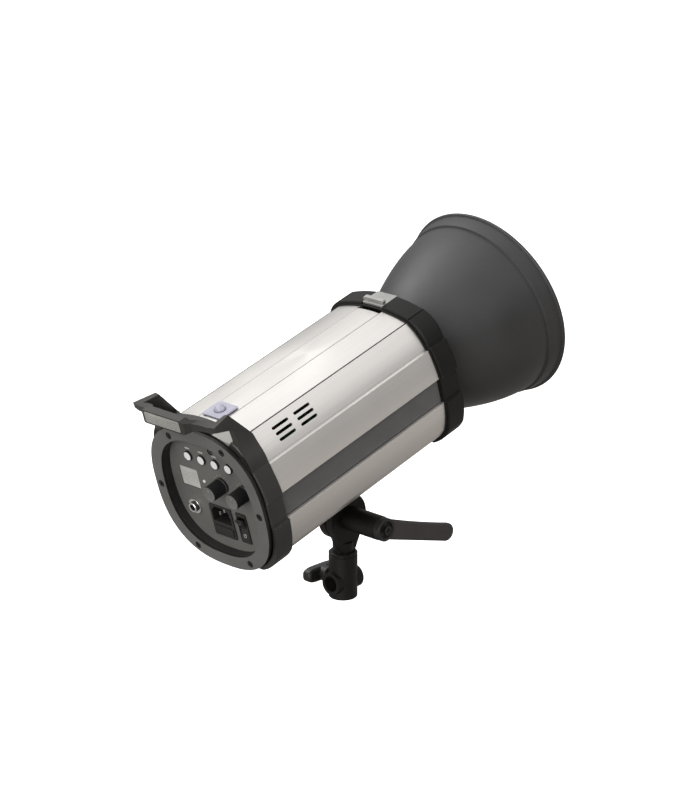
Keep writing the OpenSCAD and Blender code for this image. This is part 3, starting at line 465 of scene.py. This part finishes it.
def place(name, bm, matrix, body, materials, bevel=0.0, segments=2, replaces=()):
    """Turns a bmesh drawn in millimetres into a piece that rides on a body."""
    bmesh.ops.remove_doubles(bm, verts=bm.verts, dist=0.0005)
    bmesh.ops.recalc_face_normals(bm, faces=bm.faces)
    bm.transform(matrix)
    mesh = bpy.data.meshes.new(name)
    bm.to_mesh(mesh)
    bm.free()
    obj = bpy.data.objects.new(name, mesh)
    bpy.context.scene.collection.objects.link(obj)
    for material in materials:
        mesh.materials.append(material)
    obj.modifiers.new("soft", "NODES").node_group = SOFT_NORMALS
    if bevel:
        rounding(obj, bevel, segments)
    else:
        obj.modifiers.new("sharp", "EDGE_SPLIT").split_angle = EDGE_ANGLE
    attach(obj, body)
    if replaces:
        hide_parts(*replaces)
    return obj


def ring_loft(bm, rings, closed=True, caps=True, slots=None):
    """Skins equal rings of points in order; caps closes the two ends."""
    loops = [[bm.verts.new(p) for p in ring] for ring in rings]
    count = len(rings[0])
    for i in range(len(loops) - 1):
        for j in range(count if closed else count - 1):
            k = (j + 1) % count
            quad = bm.faces.new((loops[i][j], loops[i][k], loops[i + 1][k], loops[i + 1][j]))
            quad.material_index = slots[i] if slots else 0
    if caps:
        bm.faces.new(loops[0])
        bm.faces.new(list(reversed(loops[-1])))


def lathe(bm, profile, centre=(0, 0), steps=96, slots=None, start=0.0, sweep=360.0):
    """Spins (radius, y) points about an axis along Y through centre, a point in X and Z."""
    full = sweep >= 360
    turns = steps if full else steps + 1
    rings = []
    for radius, y in profile:
        ring = []
        for i in range(turns):
            a = math.radians(start + sweep * i / steps)
            r = max(radius, 0.01)
            ring.append((centre[0] + r * math.sin(a), y, centre[1] + r * math.cos(a)))
        rings.append(ring)
    ring_loft(bm, rings, closed=full, caps=False, slots=slots)


def prism(bm, outline, low, high, axis=1, slot=0):
    """Carries a closed outline along an axis; the outline gives the other two coordinates."""
    rings = []
    for level in (low, high):
        ring = []
        for u, v in outline:
            point = [u, v]
            point.insert(axis, level)
            ring.append(tuple(point))
        rings.append(ring)
    before = len(bm.faces)
    ring_loft(bm, rings)
    bm.faces.ensure_lookup_table()
    for face in bm.faces[before:]:
        face.material_index = slot


def pill(centre, length, width, angle=0.0, arc=8):
    """Outline of a rounded bar."""
    r = width / 2
    half = length / 2 - r
    turn = math.radians(angle)
    points = []
    for end in (1, -1):
        for i in range(arc + 1):
            a = math.radians(90 - 180 * i / arc)
            u, v = end * (half + r * math.cos(a)), end * r * math.sin(a)
            points.append((centre[0] + u * math.cos(turn) - v * math.sin(turn),
                           centre[1] + u * math.sin(turn) + v * math.cos(turn)))
    return points


def tube_along(bm, path, radius, sides=20):
    """A round tube along a path of points."""
    points = [Vector(p) for p in path]
    rings = []
    normal = None
    for i, point in enumerate(points):
        ahead = points[min(i + 1, len(points) - 1)] - points[max(i - 1, 0)]
        ahead.normalize()
        if normal is None:
            normal = ahead.orthogonal().normalized()
        normal = (normal - ahead * normal.dot(ahead)).normalized()
        other = ahead.cross(normal)
        rings.append([point + radius * (normal * math.cos(2 * math.pi * j / sides)
                                        + other * math.sin(2 * math.pi * j / sides))
                      for j in range(sides)])
    ring_loft(bm, rings)


# ---------- reflector, lamp and flash tube ----------

def reflector():
    """Spun bell: black outside, pebbled silver inside, with a rolled rim and bayonet lugs."""
    low, high = in_head("reflector")
    rim_y, neck_y, rim_r = low.y, high.y, high.x
    neck_r, wall, bead_r = 49.5, 1.4, 1.8
    start_y, end_y = neck_y - 14.8, rim_y + 19
    start_r, end_r = neck_r + 4.5, rim_r - 7.4
    outer = [(neck_r, neck_y), (neck_r, neck_y - 9.4), (neck_r + 0.8, neck_y - 11.5)]
    for i in range(25):
        s = i / 24
        outer.append((start_r + (end_r - start_r) * (1 - (1 - s) ** 1.6),
                      start_y + (end_y - start_y) * s))
    outer += [(end_r + 1.2, end_y - 0.5), (end_r + 2.1, end_y - 0.9),
              (end_r + 2.9, end_y - 4), (end_r + 3.9, end_y - 9), (end_r + 4.8, rim_y + 3.8)]
    bead = [(rim_r - bead_r + bead_r * math.sin(math.radians(a)),
             rim_y + bead_r - bead_r * math.cos(math.radians(a))) for a in range(150, -171, -20)]
    inner = [(radius - wall, y) for radius, y in reversed(outer)]
    profile = outer + bead + inner
    profile.append(profile[0])
    slots = [0] * (len(outer) + len(bead) - 1) + [1] * len(inner) + [0]
    bm = bmesh.new()
    lathe(bm, profile, steps=128, slots=slots)
    for i in range(3):
        lug = [(neck_r - 0.6, neck_y), (54, neck_y), (54, neck_y - 3.4),
               (neck_r - 0.6, neck_y - 3.4), (neck_r - 0.6, neck_y)]
        lathe(bm, lug, steps=10, start=120 * i - 15, sweep=30)
    place("reflector_bell", bm, HEAD, "reflector", [BELL_BLACK, BELL_SILVER],
          replaces=("reflector",))


def modelling_lamp():
    """Clear bulb with a thin wall and a neck, with a coiled filament on two wires."""
    low, high = in_head("modelling_lamp")
    tip, foot, radius = low.y, high.y, high.x
    neck = radius - 2.8
    outer = [(neck, foot), (neck, foot - 24), (neck + 0.9, foot - 28), (radius, foot - 33)]
    outer += [(radius * math.cos(math.radians(a)), tip + radius - radius * math.sin(math.radians(a)))
              for a in range(0, 91, 6)]
    inner = [(max(r - 0.9, 0), y + (0.9 if y < tip + radius else 0)) for r, y in outer[1:]]
    bm = bmesh.new()
    lathe(bm, outer, steps=64)
    lathe(bm, [(0, foot - 20)] + [(neck - 0.9, foot - 20)] + inner, steps=64)
    place("lamp_bulb", bm, HEAD, "head", [LAMP_GLASS], replaces=("modelling_lamp",))

    bm = bmesh.new()
    stem = foot - 20.2
    for side in (-1, 1):
        tube_along(bm, [(side * 3, stem, 0), (side * 4, stem - 14, 0), (side * 7, tip + 20, 0)],
                   0.35, 10)
    coil = [(-7 + 14 * i / 160, tip + 20 + 1.1 * math.sin(i * 0.8), 1.1 * math.cos(i * 0.8))
            for i in range(161)]
    tube_along(bm, coil, 0.22, 6)
    lathe(bm, [(0, stem), (4.6, stem), (3.4, stem - 9), (1.2, stem - 12), (0, stem - 12.4)],
          steps=32)
    place("lamp_filament", bm, HEAD, "head", [ZINC])


def flash_tube():
    """Horseshoe of glass tube round the lamp, on two legs, with a trigger wire round it."""
    low, high = in_head("flash_tube")
    tube_r = 4.2
    ring_r, ring_y, base_y = high.x - tube_r, low.y + tube_r, high.y
    half_gap, bend_r = 20, 7
    path = []
    for side in (-1, 1):
        a = math.radians(side * half_gap)
        along = Vector((side * math.cos(a), 0, side * math.sin(a)))
        corner = Vector((ring_r * math.sin(a), ring_y, -ring_r * math.cos(a)))
        leg = [corner + Vector((0, base_y - ring_y, 0)), corner + Vector((0, bend_r * 1.5, 0))]
        for i in range(7):
            b = math.radians(90 * i / 6)
            leg.append(corner + along * (bend_r * (1 - math.cos(b)))
                       + Vector((0, bend_r * (1 - math.sin(b)), 0)))
        if side == -1:
            first = leg
        else:
            last = list(reversed(leg))
    trim = math.degrees(bend_r / ring_r) + half_gap
    arc = []
    for i in range(73):
        a = math.radians(-trim - (360 - 2 * trim) * i / 72)
        arc.append(Vector((ring_r * math.sin(a), ring_y, -ring_r * math.cos(a))))
    path = first + arc + last
    bm = bmesh.new()
    tube_along(bm, path, tube_r, 24)
    tube_along(bm, path[1:-1], tube_r - 1.1, 24)
    place("flash_tube_glass", bm, HEAD, "head", [TUBE_GLASS], replaces=("flash_tube",))

    bm = bmesh.new()
    for end in (first, list(reversed(last))):
        tube_along(bm, [end[0], end[0] + Vector((0, -9, 0))], tube_r - 1.4, 16)
    wire = []
    for i in range(721):
        a = math.radians(-trim - 4 - (352 - 2 * trim) * i / 720)
        b = i * 0.24
        r = ring_r + (tube_r + 0.35) * math.cos(b)
        wire.append((r * math.sin(a), ring_y + (tube_r + 0.35) * math.sin(b), -r * math.cos(a)))
    tube_along(bm, wire, 0.25, 6)
    place("trigger_wire", bm, HEAD, "head", [ZINC])


# ---------- rear panel details ----------

def knob(name, node, body):
    """Fluted control knob with a slightly dished face and a pointer line."""
    low, high = in_head(node)
    centre = ((low.x + high.x) / 2, (low.z + high.z) / 2)
    radius, face_y = (high.x - low.x) / 2, high.y
    skirt_y = in_head("control_panel")[1].y + 0.8
    flutes, per_flute = 28, 6
    steps = flutes * per_flute
    levels = [(skirt_y, 0.0, 0), (skirt_y + 1.6, 0.0, 0), (skirt_y + 2.0, -0.4, 1),
              (face_y - 0.8, -0.6, 1), (face_y - 0.2, -0.8, 0), (face_y, -1.3, 0),
              (face_y - 0.3, -2.2, 0), (face_y - 0.35, 0.01 - radius, 0)]
    rings = []
    for y, inset, fluted in levels:
        ring = []
        for i in range(steps):
            a = 2 * math.pi * i / steps
            groove = 0.35 * fluted * max(0.0, math.cos(a * flutes)) ** 0.7
            reach = radius + inset - groove
            ring.append((centre[0] + reach * math.sin(a), y, centre[1] + reach * math.cos(a)))
        rings.append(ring)
    bm = bmesh.new()
    ring_loft(bm, rings, caps=False)
    lathe(bm, [(radius, skirt_y), (3, skirt_y), (3, skirt_y - 4.8)], centre, steps)
    pointer = pill((centre[0], centre[1] + radius - 4.4), 3.6, 0.8, 90)
    prism(bm, pointer, face_y - 0.45, face_y - 0.22, slot=1)
    place(name, bm, HEAD, body, [KNOB, GRIP_GREY], replaces=(node,))


def key_shade_bands():
    """Black band over the side wall of each white key, painted shade on its side; it moves with the
    key.
    """
    for i in range(1, 5):
        low, high = in_head(f"button_{i}")
        centre = ((low.x + high.x) / 2, (low.z + high.z) / 2)
        radius, face_y = (high.x - low.x) / 2, high.y
        profile = [(radius + 0.02, face_y - 3), (radius + 0.5, face_y - 3),
                   (radius + 0.5, face_y - 0.5), (radius + 0.3, face_y - 0.2),
                   (radius + 0.02, face_y - 0.1), (radius + 0.02, face_y - 3)]
        bm = bmesh.new()
        lathe(bm, profile, centre, 48)
        place(f"key_shade_band_{i}", bm, HEAD, f"button_{i}", [BLACK])


def jack_rim():
    """Plated rim at the end of the sync jack's barrel."""
    centre = in_head("jack_nut")
    middle = ((centre[0].x + centre[1].x) / 2, (centre[0].z + centre[1].z) / 2)
    y = in_head("sync_jack")[1].y
    bm = bmesh.new()
    lathe(bm, [(3.25, y - 0.6), (3.25, y + 0.25), (3.7, y + 0.5), (4.7, y + 0.5),
               (5.05, y + 0.1), (5.05, y - 0.6), (3.25, y - 0.6)], middle, 64)
    place("jack_rim", bm, HEAD, "head", [CHROME])


def painted_lens_rim():
    """Dark violet ring round the foot of the slave sensor's lens: a painted dark edge, the shade the
    clear dome shows at its rim.
    """
    low, high = in_head("slave_window")
    centre = ((low.x + high.x) / 2, (low.y + high.y) / 2)
    lens_r, shelf = 5.5, low.z + 1.6
    path = []
    for i in range(49):
        a = math.radians(360 * i / 48)
        path.append((centre[0] + lens_r * math.cos(a), centre[1] + lens_r * math.sin(a), shelf))
    bm = bmesh.new()
    tube_along(bm, path, 0.5, 10)
    place("painted_lens_rim", bm, HEAD, "head", [LENS_RIM_SHADE_VIOLET])


def panel_marks():
    """Printed marks with no lettering: dial ticks and a bar over each button."""
    panel_y = in_head("control_panel")[1].y
    lift = 0.03
    bm = bmesh.new()
    for node in ("power_knob", "lamp_knob"):
        low, high = in_head(node)
        centre = ((low.x + high.x) / 2, (low.z + high.z) / 2)
        reach = (high.x - low.x) / 2 + 2.0
        for i in range(11):
            a = math.radians(-140 + 28 * i)
            spot = (centre[0] + reach * math.sin(a), centre[1] + reach * math.cos(a))
            length = 1.8 if i % 5 == 0 else 1.1
            prism(bm, pill(spot, length, 0.35, 90 - math.degrees(a), 4), panel_y, panel_y + lift)
    for i in range(4):
        low, high = in_head(f"button_{i + 1}")
        middle = ((low.x + high.x) / 2, high.z + 3.4)
        prism(bm, pill(middle, 6.4, 1.5, 0, 6), panel_y, panel_y + lift)
    place("panel_marks", bm, HEAD, "head", [MARKS])


def switch_signs():
    """A bar and a ring on the two ends of the rocker."""
    pin = Vector(JOINTS["power_switch"]["pos_m"])
    centre = HEAD.inverted() @ pin
    mesh = NODES["switch_rocker"].data
    inverse = HEAD.inverted()
    points = [inverse @ v.co for v in mesh.vertices]
    half = max(abs(p.z - centre.z) for p in points)
    ridge_y = max(p.y for p in points if abs(p.z - centre.z) < half / 4)
    bm = bmesh.new()
    reach = 0.66
    for sign in (1, -1):
        end_y = max(p.y for p in points if sign * (p.z - centre.z) > half * 0.7)
        y = ridge_y + (end_y - ridge_y) * reach
        z = centre.z + sign * half * reach
        if sign > 0:
            prism(bm, pill((centre.x, z), 3.4, 0.7, 90, 4), y - 0.6, y + 0.25)
        else:
            ring = [(1.3, y - 0.8), (1.85, y - 0.8), (1.85, y + 0.25), (1.3, y + 0.25)]
            lathe(bm, ring + ring[:1], (centre.x, z), 32)
    place("switch_signs", bm, HEAD, "rocker", [MARKS])


def display_digits():
    """Three unlit seven-segment digits, a little darker than the window."""
    low, high = in_head("display_window")
    y = high.y
    width, height, bar = 4.6, 9.0, 0.8
    bm = bmesh.new()
    for i in range(3):
        x = (low.x + high.x) / 2 + (i - 1) * 7.0
        z = (low.z + high.z) / 2
        for v in (-height / 2, 0, height / 2):
            prism(bm, pill((x, z + v), width - 0.6, bar, 0, 3), y - 0.1, y + 0.02)
        for u in (-width / 2, width / 2):
            for v in (-height / 4, height / 4):
                prism(bm, pill((x + u, z + v), height / 2 - 0.6, bar, 90, 3), y - 0.1, y + 0.02)
    place("display_digits", bm, HEAD, "head", [SEGMENTS])


# ---------- collars and handle ----------
# The collars follow the cover's section: a crowned top, grooves, raised flank strips and a
# recess for the inlays.

COVER_LOW, COVER_HIGH = in_head("cover")
GROOVE_X = 43.2
CROWN_SAG = 6.8
GROOVE_Z = COVER_HIGH.z - CROWN_SAG
STRIP = 3.8
POCKET_X = 13.4
INLAY_TOP, INLAY_FOOT = 13, -13.5


def crown_at(x):
    return COVER_HIGH.z - CROWN_SAG * (x / GROOVE_X) ** 2


def curve(a, b, c, n):
    points = []
    for i in range(n + 1):
        t = i / n
        points.append(tuple((1 - t) ** 2 * a[k] + 2 * t * (1 - t) * b[k] + t * t * c[k]
                            for k in (0, 1)))
    return points


def half_section(scale, relief, bulge=0.0, groove=1.0, pocket=None, seam=0.0):
    """Right half of the section, top to bottom, and how many points lie over the split."""
    step = STRIP * relief
    outer = COVER_HIGH.x - STRIP * (1 - relief) / 2
    inner = outer - step + 0.2
    edge = 12.75 if pocket is None else POCKET_X / scale
    top = [(edge * i / 3 - 0.1 * i, crown_at(edge * i / 3)) for i in range(4)]
    top += [(edge, crown_at(edge)), (edge + 0.2, crown_at(edge))]
    if pocket is not None:
        top = [(x, min(z, pocket / scale)) for x, z in top[:-1]] + top[-1:]
    top += [(GROOVE_X * i / 6 + (0.4 if i == 2 else 0), crown_at(GROOVE_X * i / 6))
            for i in range(2, 7)]
    depth = 1.7 * relief * groove
    top += [(GROOVE_X + 0.4, GROOVE_Z - depth), (GROOVE_X + 1.2, GROOVE_Z - depth)]
    top += curve((GROOVE_X + 1.6, GROOVE_Z - 0.4), (57.5 + bulge, 57.3 + bulge), (62.8, 42.3), 8)
    top += curve((62.9 + step, 42.3), (outer - 1.4, 26), (outer, INLAY_TOP + 2 * seam), 5)
    top += [(outer - seam, INLAY_TOP + seam), (outer, INLAY_TOP)]
    bottom = [(inner, INLAY_TOP - 0.8), (inner, INLAY_FOOT + 0.8)]
    bottom += curve((outer + 0.1, INLAY_FOOT), (outer - 0.9, -31), (67, -44), 5)
    bottom += curve((66.4, -45.5), (58.5, -57.5), (43, COVER_LOW.z), 5)
    return [(x * scale, z * scale) for x, z in top + bottom], len(top)


def squircle_along(points, half_width, lift=0.8, power=2.5):
    """Points of the bezel's rounded-square outline, one in the direction of each point."""
    result = []
    for x, z in points:
        reach = math.hypot(x, z)
        u, v = abs(x) / reach, abs(z) / reach
        radius = half_width / (u ** power + v ** power) ** (1 / power)
        result.append((x / reach * radius, z / reach * radius + lift))
    return result


def circle_along(points, radius):
    return [(x / math.hypot(x, z) * radius, z / math.hypot(x, z) * radius) for x, z in points]


def sleeve(walls, first, last):
    """Rings across a wall, from its point first on the right round to first on the left."""
    right = [[(points[i][0], y, points[i][1]) for points, y in walls]
             for i in range(first, last)]
    return right + [[(-x, y, z) for x, y, z in ring] for ring in reversed(right)]


COLLAR_SCALE = 1.05
COLLAR_BULGE = 2.5
CHAMFER_SCALE = 0.014


def collar_points(relief, scale=COLLAR_SCALE, pocket=None):
    return half_section(scale, relief, COLLAR_BULGE, pocket=pocket, seam=0.5)[0]


def front_collar():
    """Moulded ring between the cover and the reflector, with a lip and the latch's pocket."""
    low, high = in_head("front_collar")
    shelf = 75.5
    outer = collar_points(0.72, pocket=shelf)
    trimmed = collar_points(0.72, COLLAR_SCALE - CHAMFER_SCALE, shelf - 1)
    lip = half_section(1.018, 0.9, groove=0.4, pocket=shelf)[0]
    bore, mouth = half_section(1.004, 1.0, groove=0.0)[0], circle_along(outer, 60.4)
    lip_y = high.y - 1.6
    walls = [(bore, high.y), (lip, high.y), (lip, lip_y), (trimmed, lip_y), (outer, lip_y - 1),
             (outer, low.y + 1.2), (trimmed, low.y), (mouth, low.y), (mouth, high.y - 6),
             (bore, high.y - 6)]
    bm = bmesh.new()
    rings = sleeve(walls, 0, len(bore))
    ring_loft(bm, rings + rings[:1], caps=False)
    place("collar_front", bm, HEAD, "head", [FRONT_COLLAR], bevel=0.3, replaces=("front_collar",))


def rear_collar_walls(relief):
    low, high = in_head("rear_collar")
    outer = collar_points(relief)
    trimmed = collar_points(relief, COLLAR_SCALE - CHAMFER_SCALE)
    opening = squircle_along(outer, 73.8)
    step_y = in_head("rear_frame")[0].y - 0.1
    bore = half_section(1.004, 1.0, groove=0.0)[0]
    return [(opening, high.y), (trimmed, high.y), (outer, high.y - 1.2), (outer, low.y + 1.2),
            (trimmed, low.y), (bore, low.y), (bore, step_y), (opening, step_y)]


def rear_collar():
    """Lower half of the rear collar, under the split line."""
    walls = rear_collar_walls(0.72)
    bm = bmesh.new()
    ring_loft(bm, sleeve(walls, half_section(1, 1)[1], len(walls[0][0])))
    place("collar_rear_lower", bm, HEAD, "head", [COLLAR], bevel=0.3, replaces=("rear_collar",))


CROWN_BACK = -18.6
BRIDGE_X, ARM_X = 22, 44


def crown_ring(walls, i, silver):
    """Section of the upper half at outline point i; between the arms it is cut back, and
    where it is silver it stays level with the cover's own top."""
    x = walls[3][0][i][0]
    ring = [(points[i][0], y, points[i][1]) for points, y in walls]
    if x > ARM_X:
        return ring
    ring = [(px, max(y, CROWN_BACK), z) for px, y, z in ring]
    if silver and x > BRIDGE_X:
        level = ring[5][2] + 0.5
        ring = [(px, y, min(z, level)) for px, y, z in ring]
    return ring


def carry_handle():
    """Upper half of the rear collar with the strap handle that grows out of it."""
    walls = rear_collar_walls(0.12)
    split = half_section(1, 1)[1]
    left = [crown_ring(walls, i, False) for i in range(1, split)]
    right = [crown_ring(walls, i, True) for i in range(split)]
    rings = [[(-x, y, z) for x, y, z in ring] for ring in reversed(right)] + left
    # Between the bridge and the arm the shelf gets the grey plastic instead of aluminium: painted
    # shade under the handle.
    slots = []
    for here, there in zip(rings, rings[1:]):
        middle = -(here[3][0] + there[3][0]) / 2
        slots.append(1 if BRIDGE_X < middle < ARM_X else 0)
    bm = bmesh.new()
    ring_loft(bm, rings, slots=slots)
    place("collar_rear_upper", bm, HEAD, "head", [COLLAR, GRIP_GREY], bevel=0.3,
          replaces=("carry_handle",))

    rear, front = walls[0][1], walls[4][1]
    grip_low, grip_high = in_head("handle_insert")
    grip_y, foot, crest = grip_high.y - 0.4, grip_low.z - 1.5, grip_high.z + 1.5
    root = [(x + 0.15, z) for x, z in reversed(walls[3][0][:split]) if 43 < z < 63 and x > ARM_X]
    arm = [[(x, front, z), (x, rear, z), (x - 7, rear, z - 2), (x - 7, front, z - 2)]
           for x, z in root]
    arm += [
        [(53.7, front, 71.7), (55.5, rear - 1.5, 71), (48, rear - 1.5, 69.5), (46.5, front, 70)],
        [(48.3, -8.1, 99.2), (51, -7.3, 84.7), (45, -7.3, 84), (43.3, -8.1, 98.2)],
        [(54.3, 14.8, 99.8), (54, 14.5, 94.2), (47, 10, 93), (46, 10, 98.8)],
        [(47, 16.2, 99.6), (47, 16.2, 93.6), (43, 8, 92.5), (43, 8, 98.6)],
        [(36, 16.6, 99.5), (36, 16.6, foot), (36, 7.5, foot), (36, 7.5, 98.5)],
        [(30, 20, 101.5), (30, 20, foot), (30, 11, foot), (30, 11, 100.5)],
        [(27.4, 27, crest - 2.5), (27.4, 27, foot), (27.4, 18, foot), (27.4, 18, crest - 3)],
        [(24.5, grip_y, crest), (24.5, grip_y, foot),
         (24.5, grip_y - 8.5, foot), (24.5, grip_y - 8.5, crest)]]
    far_side = [[(-x, y, z) for x, y, z in ring] for ring in reversed(arm)]
    bm = bmesh.new()
    ring_loft(bm, arm + far_side)
    place("handle_strap", bm, HEAD, "head", [COLLAR], bevel=0.9, segments=3)


def grip_ribs():
    """Fine raised ribs on the grey insert."""
    low, high = in_head("handle_insert")
    y, z = high.y, (low.z + high.z) / 2
    bm = bmesh.new()
    for i in range(5):
        length = (high.x - low.x) - 9 - 2.5 * abs(i - 2)
        prism(bm, pill((0, z + 1.9 * (i - 2)), length, 0.8, 0, 6), y - 0.3, y + 0.35)
    place("grip_ribs", bm, HEAD, "head", [GRIP_GREY], bevel=0.15)


# ---------- bracket handles ----------

def tilt_lever():
    """Clamping lever: a round hub with a recess for its screw and a straight, blunt arm."""
    low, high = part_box("tilt_lever")
    x0, x1 = (low.x - PIVOT.x) / MM, (high.x - PIVOT.x) / MM
    arm_x1 = x0 + 7.4
    reach, root, hub_r = 102, 7.5, 11.6
    droop = math.radians(16.7)
    tip_r = 9.2
    lower, upper = [], []
    for i in range(12):
        s = i / 11
        d = root + (reach - tip_r - root) * s
        lower.append((d, -9.8 + 0.6 * s))
        upper.append((d, 10.2 - 3.2 * s * (1 - s) - 1.0 * s))
    tip = []
    for i in range(13):
        a = math.radians(-90 + 180 * i / 12)
        tip.append((reach - tip_r + tip_r * math.cos(a), tip_r * math.sin(a)))
    turned = []
    for d, n in lower + tip + list(reversed(upper)):
        turned.append((-(d * math.cos(droop)) - n * math.sin(droop),
                       -d * math.sin(droop) + n * math.cos(droop)))
    bm = bmesh.new()
    prism(bm, turned, x0 + 0.6, arm_x1, axis=0)
    place("lever_arm", bm, TILT_FRAME, "lever", [LEVER], bevel=2.3, segments=4,
          replaces=("tilt_lever",))
    bm = bmesh.new()
    recess_r, floor_x = 8.4, x0 + 3.4
    hub = [(0.01, floor_x), (recess_r, floor_x), (recess_r, x0), (hub_r, x0),
           (hub_r, arm_x1), (7.4, arm_x1), (7.4, x1), (0.01, x1)]
    lathe(bm, hub, steps=64)
    turn = Matrix.Rotation(math.radians(-90), 4, "Z")
    place("lever_hub", bm, TILT_FRAME @ turn, "lever", [BLACK], bevel=0.7, segments=3)


def lock_knob():
    """Two-winged clamping knob with a round hub."""
    low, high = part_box("lock_knob")
    axis_z = (low.z + high.z) / 2 / MM
    x0, x1 = low.x / MM, high.x / MM
    half = high.y / MM
    outline = []
    steps = 48
    for i in range(steps):
        a = 2 * math.pi * i / steps
        y = half * math.copysign(abs(math.cos(a)) ** 0.8, math.cos(a))
        height = 7.6 + 1.6 * (abs(y) / half) ** 2
        outline.append((y, height * math.copysign(abs(math.sin(a)) ** 0.7, math.sin(a))))
    matrix = Matrix.Translation((0, 0, axis_z * MM)) @ Matrix.Scale(MM, 4)
    bm = bmesh.new()
    prism(bm, outline, x0 + 6.6, x1, axis=0)
    place("lock_wings", bm, matrix, "lock_knob", [BLACK], bevel=3.6, segments=5,
          replaces=("lock_knob",))
    bm = bmesh.new()
    hub = [(4.1, x0), (8.0, x0), (8.0, x1 - 5), (4.1, x1 - 5), (4.1, x0)]
    lathe(bm, hub, steps=48)
    turn = Matrix.Rotation(math.radians(-90), 4, "Z")
    place("lock_hub", bm, matrix @ turn, "lock_knob", [BLACK], bevel=0.6)


reflector()
modelling_lamp()
flash_tube()
knob("power_knob_cap", "power_knob", "power_knob")
knob("lamp_knob_cap", "lamp_knob", "lamp_knob")
panel_marks()
switch_signs()
display_digits()
grip_ribs()
key_shade_bands()
jack_rim()
painted_lens_rim()
front_collar()
rear_collar()
carry_handle()
tilt_lever()
lock_knob()

# ---------- floor, lights and camera ----------

FLOOR_DROP = 0.36
PAPER_GLOW = 0.6
MIRRORED = (0.47, 0.447, 0.423)
BOUNCED = (0.05, 0.048, 0.046)
HORIZON = 0.22
CEILING = 0.95
SUN_POWER = 0.5
CAMERA_AZIMUTH = 224.19
CAMERA_PITCH = 17.64
CAMERA_OFFSET = Vector((-1.5498, 1.5845, 0.8225))
CAMERA_LENS = 109.3


def paper():
    """Pale background paper: bright to the camera, dimmer in mirrors and as bounced light."""
    n = Nodes("floor_paper")
    path = n.tree.nodes.new("ShaderNodeLightPath")
    seen = path.outputs["Is Camera Ray"]
    geometry = n.tree.nodes.new("ShaderNodeNewGeometry")
    distance = n.tree.nodes.new("ShaderNodeVectorMath")
    distance.operation = "LENGTH"
    n.link(geometry.outputs["Position"], distance, 0)
    # Painted shade: in mirrors the paper is darker near the part, down to 0.42 of its brightness
    # within half a metre.
    far = n.ramp(distance.outputs["Value"], 0, 1, 0.5, 1.5)
    mirror = n.mix(far, shade(MIRRORED, 0.42), MIRRORED)
    mirrored = n.mix(path.outputs["Is Glossy Ray"], BOUNCED, mirror)
    n.colour(n.mix(seen, mirrored, (0.9, 0.9, 0.9)))
    n.link(n.math("MULTIPLY", seen, PAPER_GLOW), n.shader, "Emission Strength")
    n.set(Roughness=0.95, Emission_Color=(1, 1, 1, 1), Specular_IOR_Level=0.0)
    return n.material


def floor():
    bpy.ops.mesh.primitive_plane_add(size=60, location=(0, 0, -FLOOR_DROP))
    plane = bpy.context.object
    plane.name = "floor"
    plane.data.materials.append(paper())


def area_light(name, offset, size, power, colour=(1, 1, 1)):
    light = bpy.data.lights.new(name, "AREA")
    light.shape = "RECTANGLE"
    light.size, light.size_y = size
    light.energy = power
    light.color = colour
    obj = bpy.data.objects.new(name, light)
    bpy.context.scene.collection.objects.link(obj)
    obj.location = PIVOT + Vector(offset)
    obj.rotation_mode = "QUATERNION"
    obj.rotation_quaternion = (-Vector(offset)).to_track_quat("-Z", "Y")


def studio_world():
    """Bright ceiling that falls off to a greyer horizon; the camera itself sees it white."""
    world = bpy.data.worlds.new("studio")
    world.use_nodes = True
    tree = world.node_tree
    coords = tree.nodes.new("ShaderNodeTexCoord")
    split = tree.nodes.new("ShaderNodeSeparateXYZ")
    tree.links.new(coords.outputs["Generated"], split.inputs[0])
    level = tree.nodes.new("ShaderNodeMapRange")
    for key, value in (("From Min", 0.02), ("From Max", 0.62), ("To Min", HORIZON),
                       ("To Max", CEILING)):
        level.inputs[key].default_value = value
    tree.links.new(split.outputs["Z"], level.inputs["Value"])
    background = tree.nodes["Background"]
    background.inputs["Color"].default_value = (1.0, 1.0, 1.0, 1.0)
    path = tree.nodes.new("ShaderNodeLightPath")
    brighter = tree.nodes.new("ShaderNodeMath")
    brighter.operation = "MAXIMUM"
    tree.links.new(level.outputs[0], brighter.inputs[0])
    tree.links.new(path.outputs["Is Camera Ray"], brighter.inputs[1])
    tree.links.new(brighter.outputs[0], background.inputs["Strength"])
    bpy.context.scene.world = world


def lights():
    studio_world()
    sun = bpy.data.lights.new("sun", "SUN")
    sun.energy = SUN_POWER
    sun.angle = math.radians(50)
    obj = bpy.data.objects.new("sun", sun)
    bpy.context.scene.collection.objects.link(obj)
    obj.rotation_euler = (math.radians(-18), math.radians(14), 0)
    area_light("top_box", (1.5, 0.35, 1.75), (1.3, 1.3), 18)
    area_light("rear_box", (-0.9, 2.5, 0.6), (1.8, 1.8), 48)


def camera():
    data = bpy.data.cameras.new("camera")
    data.lens = CAMERA_LENS
    data.sensor_width = 36
    cam = bpy.data.objects.new("camera", data)
    bpy.context.scene.collection.objects.link(cam)
    cam.location = PIVOT + CAMERA_OFFSET
    cam.rotation_euler = (math.radians(90 - CAMERA_PITCH), 0, math.radians(CAMERA_AZIMUTH))
    bpy.context.scene.camera = cam


floor()
lights()
camera()
bpy.context.scene.view_settings.view_transform = "Standard"
